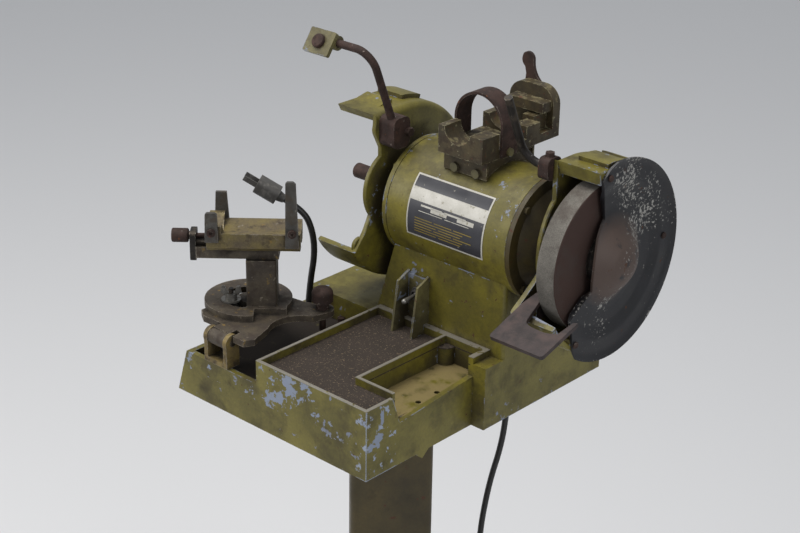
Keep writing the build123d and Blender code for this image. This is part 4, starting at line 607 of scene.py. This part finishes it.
def makeCover():
    # polar grid about the motor axis: rings out to the edge on the face, then back in behind it
    c = coverShape
    front = [(-5, 118.4), (-31, 97), (-30, 74)] + arcThrough((-14, 52), (-38, 16), (-36, -27), 18)
    front += [(-71, -51), (-62, -101)]
    top, low = (math.atan2(z, y) % (2 * math.pi) for y, z in (front[0], front[-1]))
    roundCount = 200
    angles = np.concatenate([np.linspace(low - 2 * math.pi, top, roundCount), np.linspace(top, low, 260)[1:-1]])
    behind = ((0.0, -0.4), (0.4, -0.4), (0.4, 0.4), (0.0, 0.4))
    reach = np.minimum(edgeRadius(angles, np.vstack([metres(front), behind])), c["r"])
    reach[:roundCount] = c["r"]
    steps = np.concatenate([[pointR], np.arange(c["step"], c["r"] + 0.0001, c["step"])])
    radii = np.minimum(steps, reach[:, None])
    depth = coverDepth(radii)
    x = np.hstack([c["rimX"] + c["thick"] + depth, (c["rimX"] + c["clear"] + depth)[:, ::-1]])
    q = np.hstack([radii, radii[:, ::-1]])
    turn = angles[:, None]
    shell = gridShape(gridPoints(x, axisY + q * np.cos(turn), axisZ + q * np.sin(turn)), closeU=True, closeV=True)
    makePiece("pressedCover", [shell], coverBlack, "base", ("guard_cover",))
    heads = []
    for angle in guardShape["screwAngles"]:
        lug = aroundRim(math.radians(angle), guardShape["lugRing"])
        heads.append(roundBar(*lug, c["screwR"], *(c["rimX"] + x for x in c["headX"]), c["headEdge"]))
    makePiece("coverScrewHeads", heads, redRust, "base", ("cover_screws",))


makeGuards()
makeCover()
print("guards made")


# ---- tool rest: plate with its notch, leg and bolt
restShape = {"front": -0.074, "rise": 0.155, "left": 0.212, "tilt": 19.2, "thick": 0.005, "legX": (0.2173, 0.2223),
             "boltY": 0.012, "boltRise": 0.165, "boltR": 0.0065, "boltX": (0.2226, 0.2262)}


def makeRest():
    s = restShape
    tilt = math.radians(s["tilt"])

    def onPlate(a, along, up):
        # the plate tips up towards its back: along and up turned by the tilt
        return (s["left"] + a, s["front"] + along * math.cos(tilt) - up * math.sin(tilt),
                baseZ + s["rise"] + along * math.sin(tilt) + up * math.cos(tilt))

    plate = [(1, 1.5), (2.5, 0), (71.5, 0), (73.5, 1.5), (74, 4), (76, 62), (71, 60), (67, 38), (60, 35), (53, 33),
             (40, 33), (30, 34), (24, 37), (22, 42), (18, 62), (13.5, 83), (4, 83), (2, 72), (0, 60), (0, 20), (0, 4)]
    leg = [(-16, 172), (2, 172), (3, 156), (36, 156), (36, 172), (6, 184), (-16, 177.5)]
    slabs = [slabShape(metres(plate), 0.0, s["thick"], onPlate), slabShape(metres(leg), *s["legX"], upright)]
    makePiece("restPlate", slabs, restSteel, "work_rest", ("tool_rest",))
    bolt = roundBar(s["boltY"], baseZ + s["boltRise"], s["boltR"], *s["boltX"])
    makePiece("restBolt", [bolt], darkSteel, "base", ("rest_bolt",))


makeRest()
print("tool rest made")


# ---- index lever: hub and thumb-shaped handle
leverShape = {"hubX": 0.084, "hubRise": 0.342}


def makeLever():
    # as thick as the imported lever, whose box gives the two depths
    lever = cad["index_lever"]
    depths = [(lever.matrix_world @ Vector(corner)).y for corner in lever.bound_box]
    handle = [(14, 2), (12, 14)] + arcThrough((4, 22), (-6, 34), (-8.5, 45), 8)[1:]
    handle += arcThrough((-8.5, 47), (-15, 56), (-24, 53), 8) + arcThrough((-25, 50), (-25.5, 44), (-21, 38), 5)
    handle += [(-19, 30), (-21, 12), (-17, -4), (-6, -13), (8, -11)]
    slab = slabShape(metres(handle), min(depths), max(depths),
                     lambda a, b, y: (leverShape["hubX"] + a, y, baseZ + leverShape["hubRise"] + b))
    makePiece("indexHandle", [slab], redRust, "indexer", ("index_lever",))


# ---- right rod: three corners (x, y, rise above the base's lower edge) and one bend
rodShape = {"clampEnd": (0.197, 0.042, 0.319), "knee": (0.160, 0.042, 0.319), "freeEnd": (0.167, -0.002, 0.404),
            "bend": 0.022, "radius": 0.0047}


def makeRightRod():
    # Straight, an arc that touches both legs, straight.
    # A ring is middle + q (across cos t + side sin t), with across and side square to the rod's way there.
    start, knee, end = (np.add(rodShape[key], (0, 0, baseZ)) for key in ("clampEnd", "knee", "freeEnd"))
    bend, r = rodShape["bend"], rodShape["radius"]
    inWay = (knee - start) / np.linalg.norm(knee - start)
    outWay = (end - knee) / np.linalg.norm(end - knee)
    turn = math.acos(float(inWay @ outWay))
    inner = outWay - inWay * float(inWay @ outWay)
    inner /= np.linalg.norm(inner)
    centre = knee - inWay * bend * math.tan(turn / 2) + inner * bend
    along = np.linspace(0, turn, 16)[:, None]
    arc = centre - inner * bend * np.cos(along) + inWay * bend * np.sin(along)
    ways = np.vstack([inWay, inWay, inWay * np.cos(along) + inner * np.sin(along), outWay, outWay])
    middles = np.vstack([start, start, arc, end, end])
    q = np.concatenate([[pointR], np.full(len(middles) - 2, r), [pointR]])[:, None, None]
    across = np.cross(inWay, inner)
    side = np.cross(across, ways)[:, None]
    t = np.linspace(0, 2 * np.pi, 20, endpoint=False)[:, None]
    rings = middles[:, None] + q * (across * np.cos(t) + side * np.sin(t))
    makePiece("rightRodBent", [gridShape(rings, closeV=True)], darkSteel, "right_rod",
              ("right_shield_rod",))


makeLever()
makeRightRod()
print("lever and rod made")


# ---- cord
cordShape = {"radius": 0.004}


def makeCord():
    # the route's points as part.py gives them, in metres, each height above the base's lower edge
    route = ((-0.146, -0.038, 0.207), (-0.127, -0.024, 0.1935), (-0.119, -0.017, 0.168), (-0.118, -0.014, 0.136),
             (-0.124, -0.017, 0.095), (-0.126, -0.020, 0.046), (-0.120, -0.016, 0.0), (-0.104, 0.004, -0.050),
             (-0.084, 0.034, -0.100), (-0.066, 0.058, -0.160), (-0.054, 0.072, -0.240), (-0.048, 0.078, -0.340),
             (-0.047, 0.081, -0.455), (-0.0465, 0.083, -0.574), (-0.046, 0.084, -0.631), (-0.032, 0.0935, -0.655),
             (-0.009, 0.109, -0.664), (0.014, 0.1245, -0.655), (0.028, 0.134, -0.631), (0.0286, 0.1348, -0.574),
             (0.031, 0.137, -0.460), (0.034, 0.1395, -0.360), (0.0355, 0.140, -0.271), (0.043, 0.147, -0.195),
             (0.053, 0.156, -0.140), (0.057, 0.1595, -0.090), (0.061, 0.156, -0.030), (0.062, 0.152, 0.020),
             (0.062, 0.152, 0.068))
    curve = bpy.data.curves.new("mainsCord", "CURVE")
    curve.dimensions = "3D"
    curve.bevel_depth = cordShape["radius"]
    curve.bevel_resolution = 5
    curve.resolution_u = 10
    curve.use_fill_caps = True
    spline = curve.splines.new("NURBS")
    spline.points.add(len(route) - 1)
    for point, (x, y, rise) in zip(spline.points, route):
        point.co = (x, y, rise + baseZ, 1.0)
    spline.order_u = 3
    spline.use_endpoint_u = True
    obj = bpy.data.objects.new("mainsCord", curve)
    bpy.context.scene.collection.objects.link(obj)
    obj.data.materials.append(cordRubber)
    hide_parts("cord")
    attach(obj, "base")


makeCord()
print("cord laid")


# ---- label on the barrel: bare panels, no words
labelShape = {"left": 0.025, "right": 0.141, "low": -13, "high": 45, "proud": 0.0003, "border": 0.0022,
              "radius": 0.075}


def barrelPatch(name, xFrom, xTo, lowAngle, highAngle, lift):
    # a sheet on the barrel: x runs along it, the angle runs round it from the front, both evenly
    x = np.linspace(xFrom, xTo, 24)[:, None]
    angle = np.radians(np.linspace(lowAngle, highAngle, 24))[None, :]
    r = labelShape["radius"] + lift
    return meshObject(name, *gridShape(gridPoints(x, axisY - r * np.cos(angle), axisZ + r * np.sin(angle))))


def makeLabel():
    s = labelShape
    degreesPerMetre = math.degrees(1 / s["radius"])
    edge = s["border"] * degreesPerMetre
    printedDark = wornSurface("printedDarkFoil", {
        "base": "#2c2c31", "shade": "#36363b", "mottleMm": 30, "grainMm": 1.5, "grain": 0.1, "rough": 0.38, "bump": 0.1,
        "layers": ({"colour": "#7d7a70", "sizeMm": 6, "level": 0.69, "soft": 0.02, "rough": 0.6},)})
    printedPale = wornSurface("printedPaleFoil", {
        "base": "#b9b6ae", "shade": "#a8a59b", "mottleMm": 30, "grainMm": 1.5, "grain": 0.08, "rough": 0.4, "bump": 0.1,
        "layers": ({"colour": "#6b6246", "sizeMm": 8, "level": 0.64, "soft": 0.04, "rough": 0.7, "cover": 0.7},)})
    sheets = [("labelPanel", s["left"], s["right"], s["low"], s["high"], s["proud"], printedPale)]
    inner = (s["left"] + s["border"], s["right"] - s["border"], s["low"] + edge, s["high"] - edge)
    span = inner[3] - inner[2]
    wide = inner[1] - inner[0]
    sheets.append(("labelTopBand", inner[0], inner[1], inner[3] - 0.20 * span, inner[3], 2 * s["proud"], printedDark))
    sheets.append(("labelField", inner[0], inner[1], inner[2], inner[3] - 0.42 * span, 2 * s["proud"], printedDark))
    fieldTop = inner[3] - 0.47 * span
    for number, (start, stop) in enumerate(((0.30, 0.52), (0.66, 0.88))):
        sheets.append((f"labelBox{number}", inner[0] + start * wide, inner[0] + stop * wide, fieldTop - 0.07 * span,
                       fieldTop, 3 * s["proud"], printedPale))
    printedYellow = wornSurface("printedYellowFoil", {
        "base": "#8f7b33", "shade": "#7a6a30", "mottleMm": 30, "grainMm": 1.5, "grain": 0.08, "rough": 0.4, "bump": 0.1,
        "layers": ()})
    # rows of plain dashes stand for the small print: (height share, from, to, material, own height)
    rows = [(0.512, 0.16, 0.80, printedPale, 0.03), (0.425, 0.14, 0.86, printedPale, 0.012)]
    rows += [(0.30 - 0.045 * k, 0.10, 0.90 - 0.07 * (k % 3), printedYellow, 0.014) for k in range(6)]
    for row, (share, start, stop, material, tall) in enumerate(rows):
        pieces = 1 + row % 3 if tall < 0.03 else 2
        step = (stop - start) / pieces
        for part in range(pieces):
            left = inner[0] + (start + part * step) * wide
            sheets.append((f"labelRow{row}x{part}", left, left + step * 0.9 * wide, inner[2] + share * span,
                           inner[2] + (share + tall) * span, 3 * s["proud"], material))
    for name, xFrom, xTo, low, high, lift, material in sheets:
        patch = barrelPatch(name, xFrom, xTo, low, high, lift)
        patch.data.materials.append(material)
        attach(patch, "base")


makeLabel()
print("label on")


# ---- floor, light and camera
def makeFloor():
    half = 40.0
    points = np.array([[[-half, -half, 0.0], [-half, half, 0.0]], [[half, -half, 0.0], [half, half, 0.0]]])
    floor = meshObject("studioFloor", *gridShape(points))
    matte = bpy.data.materials.new("paleFloor")
    matte.use_nodes = True
    shader = matte.node_tree.nodes["Principled BSDF"]
    shader.inputs["Base Color"].default_value = linear("#d8d8d9")
    shader.inputs["Roughness"].default_value = 0.9
    floor.data.materials.append(matte)


def softLamp(name, place, target, size, power, colour):
    lamp = bpy.data.lights.new(name, "AREA")
    lamp.shape = "DISK"
    lamp.size = size
    lamp.energy = power
    lamp.color = colour
    obj = bpy.data.objects.new(name, lamp)
    obj.location = place
    obj.rotation_euler = (Vector(target) - Vector(place)).to_track_quat("-Z", "Y").to_euler()
    bpy.context.scene.collection.objects.link(obj)


def lightStudio():
    world = bpy.data.worlds.new("studio")
    world.use_nodes = True
    tree = world.node_tree
    tree.nodes["Background"].inputs["Color"].default_value = (0.93, 0.96, 1.0, 1.0)
    tree.nodes["Background"].inputs["Strength"].default_value = 0.5
    # the camera sees a paler backdrop than what lights the part
    backdrop = addNode(tree, "ShaderNodeBackground", {"Color": linear("#c3c4c6"), "Strength": 1.0})
    seen = addNode(tree, "ShaderNodeLightPath").outputs["Is Camera Ray"]
    mixed = addNode(tree, "ShaderNodeMixShader", {0: seen, 1: tree.nodes["Background"].outputs["Background"],
                                                  2: backdrop.outputs["Background"]})
    tree.links.new(mixed.outputs["Shader"], tree.nodes["World Output"].inputs["Surface"])
    bpy.context.scene.world = world
    softLamp("overhead", (-0.5, -0.5, 3.4), (0, 0, 1.0), 1.6, 62, (1.0, 0.98, 0.95))
    softLamp("leftFront", (-2.2, -2.4, 2.2), (0, 0, 1.0), 1.4, 34, (1.0, 0.98, 0.96))
    softLamp("right", (2.6, -0.8, 1.9), (0, 0, 1.0), 1.4, 16, (0.95, 0.97, 1.0))


def placeCamera():
    # solved from the photograph's edges with a 7 in wheel as the scale
    view = {"place": (1.2804, -1.3944, 1.7678), "azimuth": 42.3, "elevation": 24.3, "roll": 0.9, "lens": 78.2}
    az, el, roll = (math.radians(view[key]) for key in ("azimuth", "elevation", "roll"))
    forward = Vector((-math.sin(az) * math.cos(el), math.cos(az) * math.cos(el), -math.sin(el)))
    right = Vector((math.cos(az), math.sin(az), 0))
    up = right.cross(forward)
    rolledRight = math.cos(roll) * right + math.sin(roll) * up
    rolledUp = -math.sin(roll) * right + math.cos(roll) * up
    turn = Matrix((rolledRight, rolledUp, -forward)).transposed()
    data = bpy.data.cameras.new("photoCamera")
    data.lens = view["lens"]
    data.sensor_width = 36.0
    camera = bpy.data.objects.new("photoCamera", data)
    camera.matrix_world = Matrix.Translation(view["place"]) @ turn.to_4x4()
    bpy.context.scene.collection.objects.link(camera)
    bpy.context.scene.camera = camera


makeFloor()
lightStudio()
placeCamera()
bpy.context.scene.view_settings.view_transform = "Standard"
print("studio ready")

bpy.context.view_layer.update()
